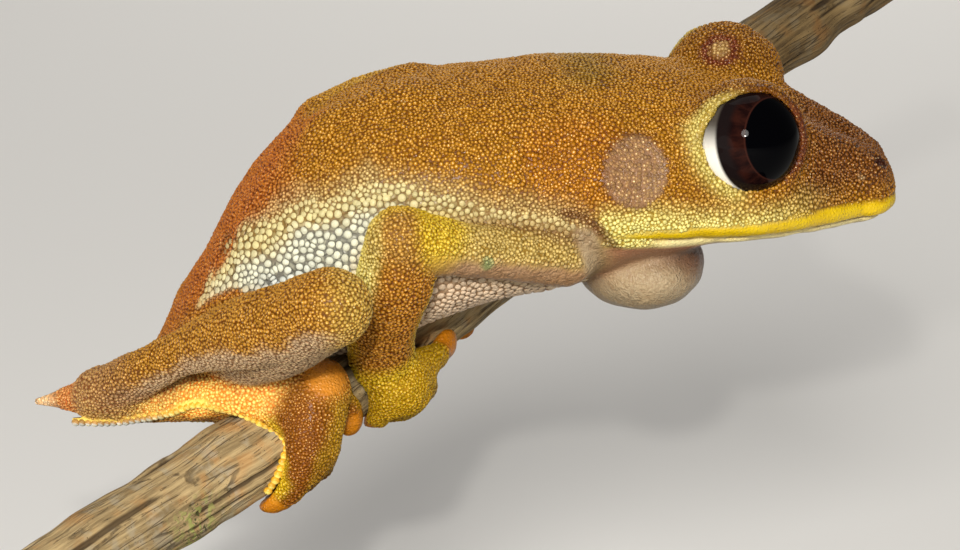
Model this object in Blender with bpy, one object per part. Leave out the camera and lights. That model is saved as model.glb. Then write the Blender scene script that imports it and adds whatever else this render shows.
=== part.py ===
"""Pombal's tree frog, life size, gripping a short cut branch on a plain display stand.

The frog and the branch are modelled in millimetres from the middle of the frog's trunk, with x
towards the snout, y towards the frog's left and z up. Soft forms are distance fields: tubes,
lofts and balls that melt into each other, meshed where the field is zero and parted into
pieces with a thin gap. LIFT sets the whole above the base, whose underside is at z = 0.
"""
import math

import bmesh
import bpy
import numpy as np
from mathutils import Euler, Vector

MM = 0.001
GAP = 0.34
FAR = 9.0
BOX_MARGIN = 3.0

# Stand, in millimetres
BASE_SIZE = (86.0, 64.0, 6.0)
BASE_CORNER = 9.0
ROD_RADIUS = 1.5
ROD_ALONG = 13.5
TRUNK_PLACE = (-2.0, 1.5, 46.0)
LIFT = np.array(TRUNK_PLACE)

# Branch, from its lower cut end to its upper one
BRANCH_ROUTE = [(-34.5, -23.4, -22.7), (-20.6, -12.1, -18.0), (-15.2, -8.9, -15.8), (-7.6, -3.3, -11.9),
                (2.0, 6.4, -8.1), (12.8, 15.4, -2.6), (27.7, 27.0, 4.8), (42.3, 35.7, 11.2)]
BRANCH_RADII = [2.95, 3.0, 2.95, 2.9, 2.8, 2.75, 2.7, 2.6]
BRANCH_KNOTS = [(9.0, 100.0, 0.35), (24.0, -60.0, 0.25), (56.0, 150.0, 0.3), (88.0, 120.0, 0.5)]
BRANCH_RINGS = 38
BRANCH_SIDES = 12

# Trunk: x, top and bottom of its outline, half width
TRUNK = [(-21.4, -10.4, -12.5, 1.4), (-19.3, -6.8, -13.1, 3.9), (-17.1, -2.9, -13.2, 5.4),
         (-15.0, 1.0, -12.7, 6.7), (-12.9, 3.8, -12.0, 7.7), (-10.7, 5.9, -11.3, 8.5),
         (-7.1, 8.1, -10.4, 9.5), (-3.6, 9.0, -8.9, 10.1), (0.0, 9.4, -7.4, 10.3), (3.6, 9.7, -6.4, 10.1),
         (7.1, 9.8, -5.9, 9.7), (10.7, 9.5, -5.0, 9.3), (13.5, 9.2, -3.8, 9.0)]
TRUNK_WAIST = 0.46
TRUNK_BULGE = 2.25

# Head, in its own frame: x forward from the line between the eyes' centres
HEAD_PLACE = np.array([20.7, -0.6, 6.25])
HEAD_TURN = (math.radians(8.0), math.radians(3.0), math.radians(-2.0))
HEAD = [(-13.0, 2.0, -9.3, 9.6), (-10.0, 2.3, -9.0, 9.85), (-7.0, 2.45, -8.8, 9.75), (-3.5, 2.45, -8.5, 9.5),
        (0.0, 2.0, -8.3, 9.0), (2.0, 1.2, -8.15, 8.2), (3.7, 0.3, -8.0, 7.25), (5.5, -0.7, -7.9, 6.1),
        (7.2, -1.6, -7.8, 4.95), (9.0, -2.3, -7.6, 3.8)]
HEAD_WAIST = 0.32
HEAD_BULGE = 2.0
SNOUT_ROUND = 2.5
NAPE_ROUND = 3.0
MOUTH_FRONT = -6.55
MOUTH_CORNER = (-10.2, -6.0)
LIP_SWELL = 0.22
EYE_PLACE = (-0.35, 6.0, 0.1)
EYE_RADIUS = 3.45
SOCKET_RADIUS = 3.78
LID_RADIUS = 4.22
LID_EDGE = 1.1
EYE_AXIS = (0.17, 0.97, 0.17)
TYMPANUM = (-8.0, 8.9, -1.4)
TYMPANUM_RADIUS = 2.3
NOSTRIL = (9.6, 2.2, -3.05)
SAC = ((13.5, -0.9, -4.6), (4.65, 6.4, 3.15))

# Limbs: route points with their radii; the right side is the near one
UPPER_ARM_R = [(7.2, -7.4, -1.9, 2.5), (1.3, -10.6, -0.9, 1.8), (-4.5, -12.6, 0.6, 2.25)]
FOREARM_R = [(-4.5, -12.6, 0.6, 2.25), (-5.0, -11.7, -2.6, 2.6), (-5.6, -9.0, -6.6, 2.25), (-5.4, -6.4, -9.9, 2.2)]
UPPER_ARM_L = [(7.2, 7.4, -1.9, 2.5), (2.2, 12.0, -0.4, 1.8), (-2.4, 15.4, 0.8, 2.2)]
FOREARM_L = [(-2.4, 15.4, 0.8, 2.2), (-2.6, 15.0, -2.2, 2.45), (-2.2, 12.2, -5.0, 2.05), (-1.4, 9.0, -7.0, 1.75)]
THIGH_R = [(-16.5, -3.5, -9.4, 2.9), (-13.2, -12.5, -5.9, 2.9), (-9.8, -20.6, -1.6, 2.5)]
SHANK_R = [(-9.8, -20.6, -1.6, 2.5), (-14.9, -14.8, -4.85, 2.4), (-19.6, -9.4, -7.9, 1.5), (-25.0, -3.6, -12.6, 1.9)]
TARSUS_R = [(-25.0, -3.6, -12.6, 1.9), (-20.3, -5.5, -12.5, 1.5), (-15.0, -7.9, -11.3, 1.6), (-9.9, -9.5, -10.6, 1.9)]
THIGH_L = [(-16.2, 3.0, -8.3, 3.0), (-12.5, 11.0, -9.3, 3.3), (-7.0, 20.0, -6.5, 2.5)]
SHANK_L = [(-7.0, 20.0, -6.5, 2.5), (-12.3, 14.4, -9.8, 2.5), (-17.6, 9.2, -13.0, 1.9), (-21.8, 4.9, -14.7, 1.7)]
TARSUS_L = [(-21.8, 4.9, -14.7, 1.7), (-19.4, 3.2, -15.4, 1.4), (-15.8, 1.0, -14.8, 1.5), (-12.6, -0.8, -13.7, 1.8)]
CALCAR_TIP = (-29.6, -1.4, -13.6)

# Fingers and toes lie on the branch: place along it, angle round it from the top towards the
# frog's right, height of the centre line above the bark, radius. The last point is the disc.
HAND_R = [[(36.4, 82, 1.7, 1.7), (39.4, 90, 1.3, 1.0), (40.9, 96, 0.9, 0.85), (42.2, 98, 0.5, 1.25)],
          [(36.0, 88, 1.8, 1.9), (38.4, 112, 1.4, 1.1), (39.3, 138, 0.9, 0.85), (39.6, 172, 0.5, 1.1)],
          [(35.9, 90, 1.8, 1.9), (36.8, 120, 1.4, 1.1), (37.0, 152, 0.9, 0.85), (36.9, 184, 0.5, 1.1)],
          [(35.3, 84, 1.6, 1.8), (34.6, 108, 1.1, 0.95), (34.7, 126, 0.8, 0.8), (35.2, 144, 0.5, 1.05)]]
HAND_L = [[(48.4, -70, 1.5, 1.5), (50.4, -92, 1.1, 0.85), (51.3, -118, 0.8, 0.7), (51.9, -146, 0.5, 1.1)],
          [(48.2, -74, 1.5, 1.5), (48.4, -104, 1.2, 0.85), (48.4, -134, 0.9, 0.75), (48.3, -168, 0.5, 1.1)],
          [(47.8, -72, 1.5, 1.5), (46.2, -98, 1.1, 0.85), (45.3, -124, 0.8, 0.7), (44.6, -150, 0.5, 1.05)],
          [(48.6, -64, 1.5, 1.4), (51.4, -66, 1.0, 0.8), (53.2, -74, 0.8, 0.7), (54.8, -86, 0.5, 1.0)]]
FOOT_R = [[(29.6, 52, 1.8, 1.8), (27.7, 78, 1.6, 1.4), (26.4, 108, 1.2, 1.05), (25.2, 150, 0.6, 1.2)],
          [(30.0, 54, 1.8, 1.7), (28.3, 92, 1.5, 1.25), (27.3, 126, 0.9, 0.95), (26.8, 166, 0.5, 1.15)],
          [(30.4, 56, 1.8, 1.6), (29.0, 96, 1.2, 1.05), (28.6, 136, 0.8, 0.85), (28.6, 176, 0.5, 1.15)],
          [(31.0, 46, 1.7, 1.5), (31.8, 66, 1.0, 0.85), (32.2, 84, 0.8, 0.75), (32.0, 100, 0.6, 1.1)],
          [(30.6, 34, 1.6, 1.4), (29.8, 2, 0.9, 0.75), (29.0, -28, 0.7, 0.65), (28.4, -50, 0.5, 0.95)]]
FOOT_L = [[(33.0, -98, 1.8, 1.6), (31.8, -124, 1.2, 1.0), (31.2, -142, 0.9, 0.8), (31.0, -158, 0.5, 1.15)],
          [(33.2, -98, 1.8, 1.6), (33.4, -124, 1.2, 1.0), (33.6, -144, 0.9, 0.8), (33.8, -162, 0.5, 1.15)],
          [(33.0, -92, 1.7, 1.5), (31.0, -104, 1.1, 0.9), (29.4, -116, 0.8, 0.75), (28.2, -130, 0.5, 1.1)],
          [(33.0, -90, 1.7, 1.4), (34.6, -98, 1.0, 0.85), (35.6, -108, 0.8, 0.7), (36.2, -120, 0.5, 1.05)]]
DISC_THICK = 0.5


def smooth_union(first, second, blend):
    """Joins two distance fields with a fillet about as wide as blend."""
    overlap = np.maximum(blend - np.abs(first - second), 0.0) / blend
    return np.minimum(first, second) - overlap * overlap * blend / 4


def smooth_path(points, steps):
    """A smooth curve through points of any number of values, sampled steps times a span."""
    points = np.asarray(points, float)
    ends = np.vstack([2 * points[0] - points[1], points, 2 * points[-1] - points[-2]])
    samples = []
    for index in range(len(points) - 1):
        p0, p1, p2, p3 = ends[index:index + 4]
        for t in np.arange(steps) / steps:
            samples.append(0.5 * (2 * p1 + (p2 - p0) * t + (2 * p0 - 5 * p1 + 4 * p2 - p3) * t * t
                                  + (3 * p1 - p0 - 3 * p2 + p3) * t ** 3))
    samples.append(points[-1])
    return np.array(samples)


def tube(points, path):
    """Distance to a round tube along a path whose rows are x, y, z and radius."""
    near = np.full(len(points), 1e3)
    for start, end in zip(path[:-1], path[1:]):
        axis = end[:3] - start[:3]
        offset = points - start[:3]
        t = np.clip(offset @ axis / (axis @ axis), 0, 1)
        radius = start[3] + t * (end[3] - start[3])
        near = np.minimum(near, np.linalg.norm(offset - t[:, None] * axis, axis=1) - radius)
    return near


def ellipsoid(points, centre, radii, axes=None):
    """Close to the distance to an ellipsoid; the rows of axes are its own directions."""
    offset = points - np.asarray(centre)
    if axes is not None:
        offset = offset @ axes.T
    scaled = offset / np.asarray(radii)
    level = np.linalg.norm(scaled, axis=1) + 1e-9
    slope = np.linalg.norm(scaled / np.asarray(radii), axis=1) + 1e-9
    return level * (level - 1) / slope


def loft(points, rows, waist, bulge, round_back, round_front):
    """Distance to a body whose rows give x, top, bottom and half width, its ends rounded off."""
    table = smooth_path(rows, 12)
    x = np.clip(points[:, 0], table[0, 0], table[-1, 0])
    top, bottom, half = (np.interp(x, table[:, 0], table[:, column]) for column in (1, 2, 3))
    middle = bottom + waist * (top - bottom)
    rise = points[:, 2] - middle
    height = np.where(rise > 0, top - middle, middle - bottom)
    across = np.abs(points[:, 1]) / half + 1e-6
    upward = np.abs(rise) / height + 1e-6
    level = (across ** bulge + upward ** bulge) ** (1 / bulge)
    slope = level ** (1 - bulge) * np.hypot(across ** (bulge - 1) / half, upward ** (bulge - 1) / height)
    lean = np.gradient(table[:, 3] + 0.5 * (table[:, 1] - table[:, 2]), table[:, 0]) / 2
    section = (level - 1) / slope / np.sqrt(1 + np.interp(x, table[:, 0], lean) ** 2)
    past = points[:, 0] - x
    corner = np.where(past < 0, round_back, round_front)
    rounded = np.hypot(np.maximum(section + corner, 0), past) - corner
    return np.where(past == 0, section, rounded)


HEAD_AXES = np.array(Euler(HEAD_TURN, "XYZ").to_matrix()).T


def in_head(points):
    """Points in the head's own frame."""
    return (points - HEAD_PLACE) @ HEAD_AXES.T


def from_head(place):
    """A place given in the head's frame, in the frog's frame."""
    return np.asarray(place, float) @ HEAD_AXES + HEAD_PLACE


def mouth_height(x):
    """Height of the mouth's line in the head's frame."""
    t = np.clip((x - MOUTH_CORNER[0]) / (11.4 - MOUTH_CORNER[0]), 0, 1)
    return MOUTH_CORNER[1] + (MOUTH_FRONT - MOUTH_CORNER[1]) * np.sin(t * math.pi / 2)


def bump(value, width):
    """A soft hill of height one."""
    return np.exp(-(value / width) ** 2)


def skull(points):
    """Head and lower jaw in one, with lids, lips, tympanum and nostrils, without the eyes."""
    local = in_head(points)
    x, y, z = local.T
    field = loft(local, HEAD, HEAD_WAIST, HEAD_BULGE, NAPE_ROUND, SNOUT_ROUND)
    side = np.abs(y)
    mirrored = np.stack([x, side, z], 1)
    canthus = tube(mirrored, np.array([(3.2, 3.6, -0.7, 1.1), (9.2, 2.0, -3.0, 0.9)]))
    field = smooth_union(field, canthus, 2.2)
    ear = np.linalg.norm(mirrored - TYMPANUM, axis=1)
    front = np.clip((x + 12) / 3, 0, 1)
    field = field - 0.16 * bump(ear - TYMPANUM_RADIUS, 0.5) * (side > 4)
    field = field - LIP_SWELL * bump(z - mouth_height(x) - 0.9, 0.7) * front
    field = field - 0.5 * LIP_SWELL * bump(z - mouth_height(x) + 0.9, 0.5) * front
    dome = ellipsoid(mirrored, EYE_PLACE, (LID_RADIUS,) * 3)
    rim = (mirrored - EYE_PLACE) @ np.asarray(EYE_AXIS) - LID_EDGE
    field = smooth_union(field, np.maximum(dome, rim), 0.9)
    nostril_rim = ellipsoid(mirrored, NOSTRIL, (0.6,) * 3)
    field = smooth_union(field, nostril_rim, 1.2)
    pit = ellipsoid(mirrored, np.asarray(NOSTRIL) + (0.25, 0.35, 0.35), (0.5, 0.42, 0.5))
    return np.maximum(field, -pit)


def sockets(points):
    """Distance to the two hollows that hold the eyes."""
    local = in_head(points)
    mirrored = np.stack([local[:, 0], np.abs(local[:, 1]), local[:, 2]], 1)
    return np.linalg.norm(mirrored - EYE_PLACE, axis=1) - SOCKET_RADIUS


def trunk(points):
    """The trunk with the two low humps of the hips on its back."""
    field = loft(points, TRUNK, TRUNK_WAIST, TRUNK_BULGE, 1.2, 4.0)
    mirrored = points * (1, 0, 1) + np.abs(points) * (0, 1, 0)
    hips = tube(mirrored, np.array([(-9.0, 2.8, 5.7, 1.3), (-2.5, 2.8, 7.5, 1.5)]))
    return smooth_union(field, hips, 1.6)


BRANCH_PATH = smooth_path([place + (radius,) for place, radius in zip(BRANCH_ROUTE, BRANCH_RADII)], 8)
BRANCH_ALONG = np.concatenate([[0], np.cumsum(np.linalg.norm(np.diff(BRANCH_PATH[:, :3], axis=0), axis=1))])


def branch_frame(along):
    """Centre, direction, upward and rightward directions of the branch at a place along it."""
    centre = np.array([np.interp(along, BRANCH_ALONG, BRANCH_PATH[:, column]) for column in range(3)])
    ahead = np.array([np.interp(along + 0.5, BRANCH_ALONG, BRANCH_PATH[:, column]) for column in range(3)])
    behind = np.array([np.interp(along - 0.5, BRANCH_ALONG, BRANCH_PATH[:, column]) for column in range(3)])
    forward = (ahead - behind) / np.linalg.norm(ahead - behind)
    right = np.cross(forward, (0, 0, 1))
    right /= np.linalg.norm(right)
    return centre, forward, np.cross(right, forward), right


def branch_radius(along, angle):
    """Radius of the bark, with a few low knots."""
    radius = np.interp(along, BRANCH_ALONG, BRANCH_PATH[:, 3])
    for place, turn, height in BRANCH_KNOTS:
        apart = np.cos(np.radians(angle - turn))
        radius = radius + height * np.exp(-((along - place) / 2.4) ** 2 + 2.0 * (apart - 1))
    return radius


def branch(points):
    """Distance to the branch, as if its knots went all round."""
    path = BRANCH_PATH.copy()
    for place, _, height in BRANCH_KNOTS:
        path[:, 3] += height * np.exp(-((BRANCH_ALONG - place) / 2.4) ** 2)
    return tube(points, path)


def on_branch(along, angle, height):
    """A place above the bark."""
    centre, _, up, right = branch_frame(along)
    turn = math.radians(angle)
    reach = branch_radius(along, angle) + height
    return centre + reach * (math.cos(turn) * up + math.sin(turn) * right)


def digit_path(stations):
    """A finger's or toe's centre line over the branch, with radii, up to its disc."""
    dense = smooth_path(stations, 4)
    return np.array([[*on_branch(along, angle, height), radius] for along, angle, height, radius in dense])


def digits(points, fingers):
    """A hand or foot: its fingers with flat discs, joined at the palm."""
    field = np.full(len(points), 1e3)
    for stations in fingers:
        path = digit_path(stations)
        along, angle, height, size = stations[-1]
        slim = path.copy()
        last = max(stations[-2][3] * 0.9, 0.6)
        slim[-4:, 3] = last
        finger = tube(points, slim)
        _, forward, up, right = branch_frame(along)
        turn = math.radians(angle)
        out = math.cos(turn) * up + math.sin(turn) * right
        axes = np.array([forward, np.cross(out, forward), out])
        disc = ellipsoid(points, path[-1, :3], (size, size, DISC_THICK), axes)
        field = smooth_union(field, smooth_union(finger, disc, 0.5), 0.6)
    return field


def near_only(function, low, high, margin=FAR):
    """Evaluates a field only near its box; elsewhere gives the distance to the box."""
    low = np.asarray(low, float)
    high = np.asarray(high, float)

    def field(points):
        away = np.linalg.norm(np.maximum(np.maximum(low - points, points - high), 0), axis=1)
        result = away + 0.5
        close = away < margin
        if close.any():
            result[close] = function(points[close])
        return result
    return field


def limb(stations, extra=None):
    """The field of a limb's segment, and its box."""
    path = smooth_path(stations, 6)
    low = (path[:, :3] - path[:, 3:]).min(0)
    high = (path[:, :3] + path[:, 3:]).max(0)

    def shape(points):
        field = tube(points, path)
        if extra is not None:
            field = smooth_union(field, extra(points), 0.8)
        return field
    if extra is not None:
        low = np.minimum(low, np.asarray(CALCAR_TIP) - 0.5)
    return near_only(shape, low, high), low, high


def digit_group(fingers):
    """The field of a hand or foot, and its box."""
    places = np.vstack([digit_path(stations)[:, :3] for stations in fingers])
    low = places.min(0) - 2.2
    high = places.max(0) + 2.2
    return near_only(lambda points: digits(points, fingers), low, high), low, high


def calcar(points):
    """The pointed spur behind the heel."""
    return tube(points, np.array([(*TARSUS_R[0][:3], 1.5), (*CALCAR_TIP, 0.25)]))


def calcar_left(points):
    """The spur behind the left heel, which mirrors the right one's lean."""
    heel = np.array(TARSUS_L[0][:3])
    lean = (np.array(CALCAR_TIP) - np.array(TARSUS_R[0][:3])) * (1, -1, 1)
    return tube(points, np.array([(*heel, 1.5), (*(heel + lean), 0.25)]))


def sac(points):
    """The folded throat sac under the jaw."""
    return ellipsoid(points, *SAC)


# Each piece of flesh: field, low and high corner of its box, blend with the rest
FLESH = {}


def add_flesh(name, made, blend):
    """Lists a piece of flesh."""
    field, low, high = made
    FLESH[name] = (field, np.asarray(low, float), np.asarray(high, float), blend)


add_flesh("torso", (near_only(trunk, (-23, -11, -14), (17, 11, 11)), (-23.5, -11, -14), (17, 11, 11)), 0.1)
add_flesh("head", (near_only(skull, (5, -12, -5), (34, 11, 12)), (8, -12, -5), (34, 11, 12)), 2.4)
add_flesh("throat_sac", (near_only(sac, (8.5, -8, -8), (19, 6, -1)), (8.5, -8, -8), (19, 6, -1)), 0.7)
for side, upper, fore, hand, thigh, shank, tarsus, foot, spur in (
        ("right", UPPER_ARM_R, FOREARM_R, HAND_R, THIGH_R, SHANK_R, TARSUS_R, FOOT_R, calcar),
        ("left", UPPER_ARM_L, FOREARM_L, HAND_L, THIGH_L, SHANK_L, TARSUS_L, FOOT_L, calcar_left)):
    add_flesh("upper_arm_" + side, limb(upper), 1.3)
    add_flesh("forearm_" + side, limb(fore), 0.5)
    add_flesh("hand_" + side, digit_group(hand), 0.5)
    add_flesh("thigh_" + side, limb(thigh), 1.8)
    add_flesh("shank_" + side, limb(shank), 0.4)
    add_flesh("tarsus_" + side, limb(tarsus, spur), 0.5)
    add_flesh("foot_" + side, digit_group(foot), 0.5)


def flesh_fields(points):
    """Every piece's own field at the points."""
    return {name: entry[0](points) for name, entry in FLESH.items()}


def whole(fields):
    """The frog's skin: all pieces melted together."""
    result = fields["torso"]
    for name, entry in FLESH.items():
        if name != "torso":
            result = smooth_union(result, fields[name], entry[3])
    return result


def bisecting(before, joint, after):
    """The plane that parts two segments at their joint: a point, and the first one's direction."""
    first = np.asarray(before[:3]) - joint[:3]
    second = np.asarray(after[:3]) - joint[:3]
    normal = first / np.linalg.norm(first) - second / np.linalg.norm(second)
    return np.asarray(joint[:3], float), normal / np.linalg.norm(normal)


# Planes between neighbours: the first piece lies on the side to which the normal points
CUTS = {}
for side, upper, fore, hand, thigh, shank, tarsus, foot in (
        ("right", UPPER_ARM_R, FOREARM_R, HAND_R, THIGH_R, SHANK_R, TARSUS_R, FOOT_R),
        ("left", UPPER_ARM_L, FOREARM_L, HAND_L, THIGH_L, SHANK_L, TARSUS_L, FOOT_L)):
    CUTS["upper_arm_" + side, "forearm_" + side] = bisecting(upper[-2], upper[-1], fore[1])
    CUTS["thigh_" + side, "shank_" + side] = bisecting(thigh[-2], thigh[-1], shank[1])
    CUTS["shank_" + side, "tarsus_" + side] = bisecting(shank[-2], shank[-1], tarsus[1])
    palm = on_branch(*hand[0][0][:3])
    CUTS["forearm_" + side, "hand_" + side] = bisecting(fore[-2], fore[-1], palm)
    sole = on_branch(*foot[0][1][:3])
    CUTS["tarsus_" + side, "foot_" + side] = bisecting(tarsus[-2], tarsus[-1], sole)
CUTS["head", "torso"] = (np.array([9.4, 0.0, 0.0]), np.array([1.0, 0.0, 0.06]) / math.hypot(1, 0.06))


def piece_field(name, jaw=None):
    """The solid of one piece, which keeps half of GAP to every cut and the whole of it to the branch."""
    def field(points):
        fields = flesh_fields(points)
        result = np.maximum(whole(fields), GAP - branch(points))
        result = np.maximum(result, -sockets(points))
        own = fields[name]
        for other in FLESH:
            if other == name:
                continue
            if (name, other) in CUTS:
                place, normal = CUTS[name, other]
                limit = GAP / 2 - (points - place) @ normal
            elif (other, name) in CUTS:
                place, normal = CUTS[other, name]
                limit = GAP / 2 + (points - place) @ normal
            else:
                limit = (own - fields[other]) / 2 + GAP / 2
            result = np.maximum(result, limit)
        if jaw is not None:
            local = in_head(points)
            above = local[:, 2] - mouth_height(local[:, 0])
            result = np.maximum(result, GAP / 2 + above if jaw else GAP / 2 - above)
        return result
    return field


def field_grid(field, low, high, step):
    """Samples a field on a fine grid, working it out only near its surface."""
    coarse = 4
    counts = np.ceil((high - low) / (step * coarse)).astype(int) + 1
    corners = [low[axis] + step * coarse * np.arange(counts[axis] + 1) for axis in range(3)]
    rough = field(np.stack(np.meshgrid(*corners, indexing="ij"), -1).reshape(-1, 3)).reshape(counts + 1)
    shape = counts * coarse + 1
    lowest = rough[:-1, :-1, :-1].copy()
    for i, j, k in np.ndindex(2, 2, 2):
        block = np.abs(rough[i:i + counts[0], j:j + counts[1], k:k + counts[2]])
        lowest = np.minimum(lowest, block) if i + j + k else block
    busy = lowest < 1.3 * step * coarse
    mask = np.zeros(shape, bool)
    for i, j, k in np.argwhere(busy):
        a, b, c = i * coarse, j * coarse, k * coarse
        mask[a:a + coarse + 1, b:b + coarse + 1, c:c + coarse + 1] = True
    nearest = [np.minimum(np.arange(shape[axis]) // coarse, counts[axis]) for axis in range(3)]
    values = rough[np.ix_(*nearest)].copy()
    where = np.argwhere(mask)
    values[mask] = field(low + where * step)
    return values


def fill_corners(values, step):
    """Closes pinches: grid squares and cubes whose inner corners only meet across a diagonal."""
    small = -0.05 * step
    for _ in range(12):
        inside = values < 0
        changed = 0
        for axis in range(3):
            view = np.moveaxis(values, axis, 0)
            solid = np.moveaxis(inside, axis, 0)
            a, b = solid[:, :-1, :-1], solid[:, :-1, 1:]
            c, d = solid[:, 1:, :-1], solid[:, 1:, 1:]
            falling = a & d & ~b & ~c
            rising = b & c & ~a & ~d
            changed += falling.sum() + rising.sum()
            view[:, :-1, 1:][falling] = small
            view[:, 1:, :-1][falling] = small
            view[:, :-1, :-1][rising] = small
            view[:, 1:, 1:][rising] = small
        inside = values < 0
        count = sum(inside[i:i - 1 or None, j:j - 1 or None, k:k - 1 or None].astype(int)
                    for i, j, k in np.ndindex(2, 2, 2))
        for j, k in np.ndindex(2, 2):
            first = inside[:-1, j:j - 1 or None, k:k - 1 or None]
            second = inside[1:, 1 - j:(1 - j) - 1 or None, 1 - k:(1 - k) - 1 or None]
            pinched = (first & second & (count == 2)) | (~first & ~second & (count == 6))
            changed += pinched.sum()
            for corner in np.ndindex(2, 2, 2):
                part = values[tuple(slice(at, at - 1 or None) for at in corner)]
                part[pinched & (part >= 0)] = small
        if not changed:
            return values
    return values


def net_mesh(values, low, step):
    """Vertices and quads of the surface where the sampled field is zero."""
    inside = values < 0
    cells = np.array(values.shape) - 1
    total = np.zeros(tuple(cells) + (3,))
    hits = np.zeros(tuple(cells))
    for axis in range(3):
        ahead = [slice(None)] * 3
        behind = [slice(None)] * 3
        ahead[axis] = slice(1, None)
        behind[axis] = slice(None, -1)
        first, second = values[tuple(behind)], values[tuple(ahead)]
        crossing = inside[tuple(behind)] != inside[tuple(ahead)]
        share = np.where(crossing, first / np.where(crossing, first - second, 1), 0)
        others = [other for other in range(3) if other != axis]
        for i, j in np.ndindex(2, 2):
            part = [slice(None)] * 3
            part[others[0]] = slice(i, i + cells[others[0]])
            part[others[1]] = slice(j, j + cells[others[1]])
            hit = crossing[tuple(part)]
            total[..., axis] += np.where(hit, share[tuple(part)], 0)
            total[..., others[0]] += hit * i
            total[..., others[1]] += hit * j
            hits += hit
    used = np.argwhere(hits > 0)
    numbers = np.full(tuple(cells), -1)
    numbers[tuple(used.T)] = np.arange(len(used))
    vertices = low + step * (used + total[tuple(used.T)] / hits[tuple(used.T)][:, None])
    quads = []
    for axis in range(3):
        u, v = (axis + 1) % 3, (axis + 2) % 3
        unit_u, unit_v, unit = np.eye(3, dtype=int)[[u, v, axis]]
        behind = [slice(1, -1)] * 3
        ahead = [slice(1, -1)] * 3
        behind[axis] = slice(None, -1)
        ahead[axis] = slice(1, None)
        crossing = inside[tuple(behind)] != inside[tuple(ahead)]
        places = np.argwhere(crossing) + 1 - unit
        outward = inside[tuple(places.T)]
        ring = [places - unit_u - unit_v, places - unit_v, places, places - unit_u]
        quad = np.stack([numbers[tuple(corner.T)] for corner in ring], 1)
        quads.append(np.where(outward[:, None], quad, quad[:, ::-1]))
    return vertices, np.vstack(quads)


def settle(vertices, field, rounds=3):
    """Moves vertices onto the field's surface."""
    reach = 0.02
    for _ in range(rounds):
        value = field(vertices)
        slope = np.stack([(field(vertices + reach * unit) - value) / reach for unit in np.eye(3)], 1)
        step = value / np.maximum((slope ** 2).sum(1), 0.3)
        vertices = vertices - np.clip(step, -0.15, 0.15)[:, None] * slope
    return vertices


def largest_part(vertices, quads):
    """Keeps the largest joined surface."""
    group = np.arange(len(vertices))
    while True:
        lowest = group[quads].min(1)
        before = group.copy()
        for corner in range(4):
            np.minimum.at(group, quads[:, corner], lowest)
        group = group[group]
        if (group == before).all():
            break
    names, counts = np.unique(group[quads[:, 0]], return_counts=True)
    quads = quads[group[quads[:, 0]] == names[counts.argmax()]]
    used, renumbered = np.unique(quads, return_inverse=True)
    return vertices[used], renumbered.reshape(-1, 4)


def material(name, colour, roughness, metallic=0.0):
    """A plain finish."""
    made = bpy.data.materials.new(name)
    made.use_nodes = True
    shader = made.node_tree.nodes["Principled BSDF"]
    shader.inputs["Base Color"].default_value = (*colour, 1)
    shader.inputs["Roughness"].default_value = roughness
    shader.inputs["Metallic"].default_value = metallic
    return made


def finish(obj, made):
    """Links an object with its material and smooth shading."""
    obj.data.materials.append(made)
    obj.data.shade_smooth()
    bpy.context.scene.collection.objects.link(obj)
    return obj


def flesh_object(name, colour, step, triangles, source=None, jaw=None):
    """One piece of flesh as a closed mesh of about the given count of triangles."""
    source = source or name
    _, low, high, _ = FLESH[source]
    field = piece_field(source, jaw)
    low = low - BOX_MARGIN
    values = fill_corners(field_grid(field, low, high + BOX_MARGIN, step), step)
    vertices, quads = net_mesh(values, low, step)
    vertices, quads = largest_part(settle(vertices, field), quads)
    mesh = bpy.data.meshes.new(name)
    mesh.from_pydata((vertices + LIFT) * MM, [], quads)
    obj = finish(bpy.data.objects.new(name, mesh), material("skin_" + name, colour, 0.42))
    fewer = obj.modifiers.new("fewer", "DECIMATE")
    fewer.ratio = min(1.0, triangles / (2 * len(quads)))
    fewer.use_collapse_triangulate = True
    return obj


def eye_object(name, side):
    """An eyeball."""
    shape = bmesh.new()
    bmesh.ops.create_uvsphere(shape, u_segments=18, v_segments=11, radius=EYE_RADIUS * MM)
    mesh = bpy.data.meshes.new(name)
    shape.to_mesh(mesh)
    shape.free()
    obj = finish(bpy.data.objects.new(name, mesh), material("glossy_" + name, (0.02, 0.008, 0.006), 0.05))
    place = from_head((EYE_PLACE[0], side * EYE_PLACE[1], EYE_PLACE[2]))
    obj.location = Vector((place + LIFT) * MM)
    return obj


def branch_mesh(name, grow, rings):
    """The branch as rings of bark between two flat cut ends."""
    shape = bmesh.new()
    loops = []
    for along in np.linspace(0, BRANCH_ALONG[-1], rings):
        centre, _, up, right = branch_frame(along)
        loop = []
        for side in range(BRANCH_SIDES):
            angle = 360 * side / BRANCH_SIDES
            turn = math.radians(angle)
            reach = branch_radius(along, angle) + grow
            place = centre + reach * (math.cos(turn) * up + math.sin(turn) * right)
            loop.append(shape.verts.new((place + LIFT) * MM))
        loops.append(loop)
    for first, second in zip(loops[:-1], loops[1:]):
        for side in range(BRANCH_SIDES):
            after = (side + 1) % BRANCH_SIDES
            shape.faces.new((first[side], first[after], second[after], second[side]))
    shape.faces.new(loops[0][::-1])
    shape.faces.new(loops[-1])
    bmesh.ops.recalc_face_normals(shape, faces=shape.faces)
    bmesh.ops.triangulate(shape, faces=shape.faces)
    mesh = bpy.data.meshes.new(name)
    shape.to_mesh(mesh)
    shape.free()
    return mesh


def branch_object():
    """The cut branch."""
    mesh = branch_mesh("perch_branch", 0.0, BRANCH_RINGS)
    return finish(bpy.data.objects.new("perch_branch", mesh), material("dead_wood", (0.32, 0.24, 0.15), 0.85))


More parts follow.
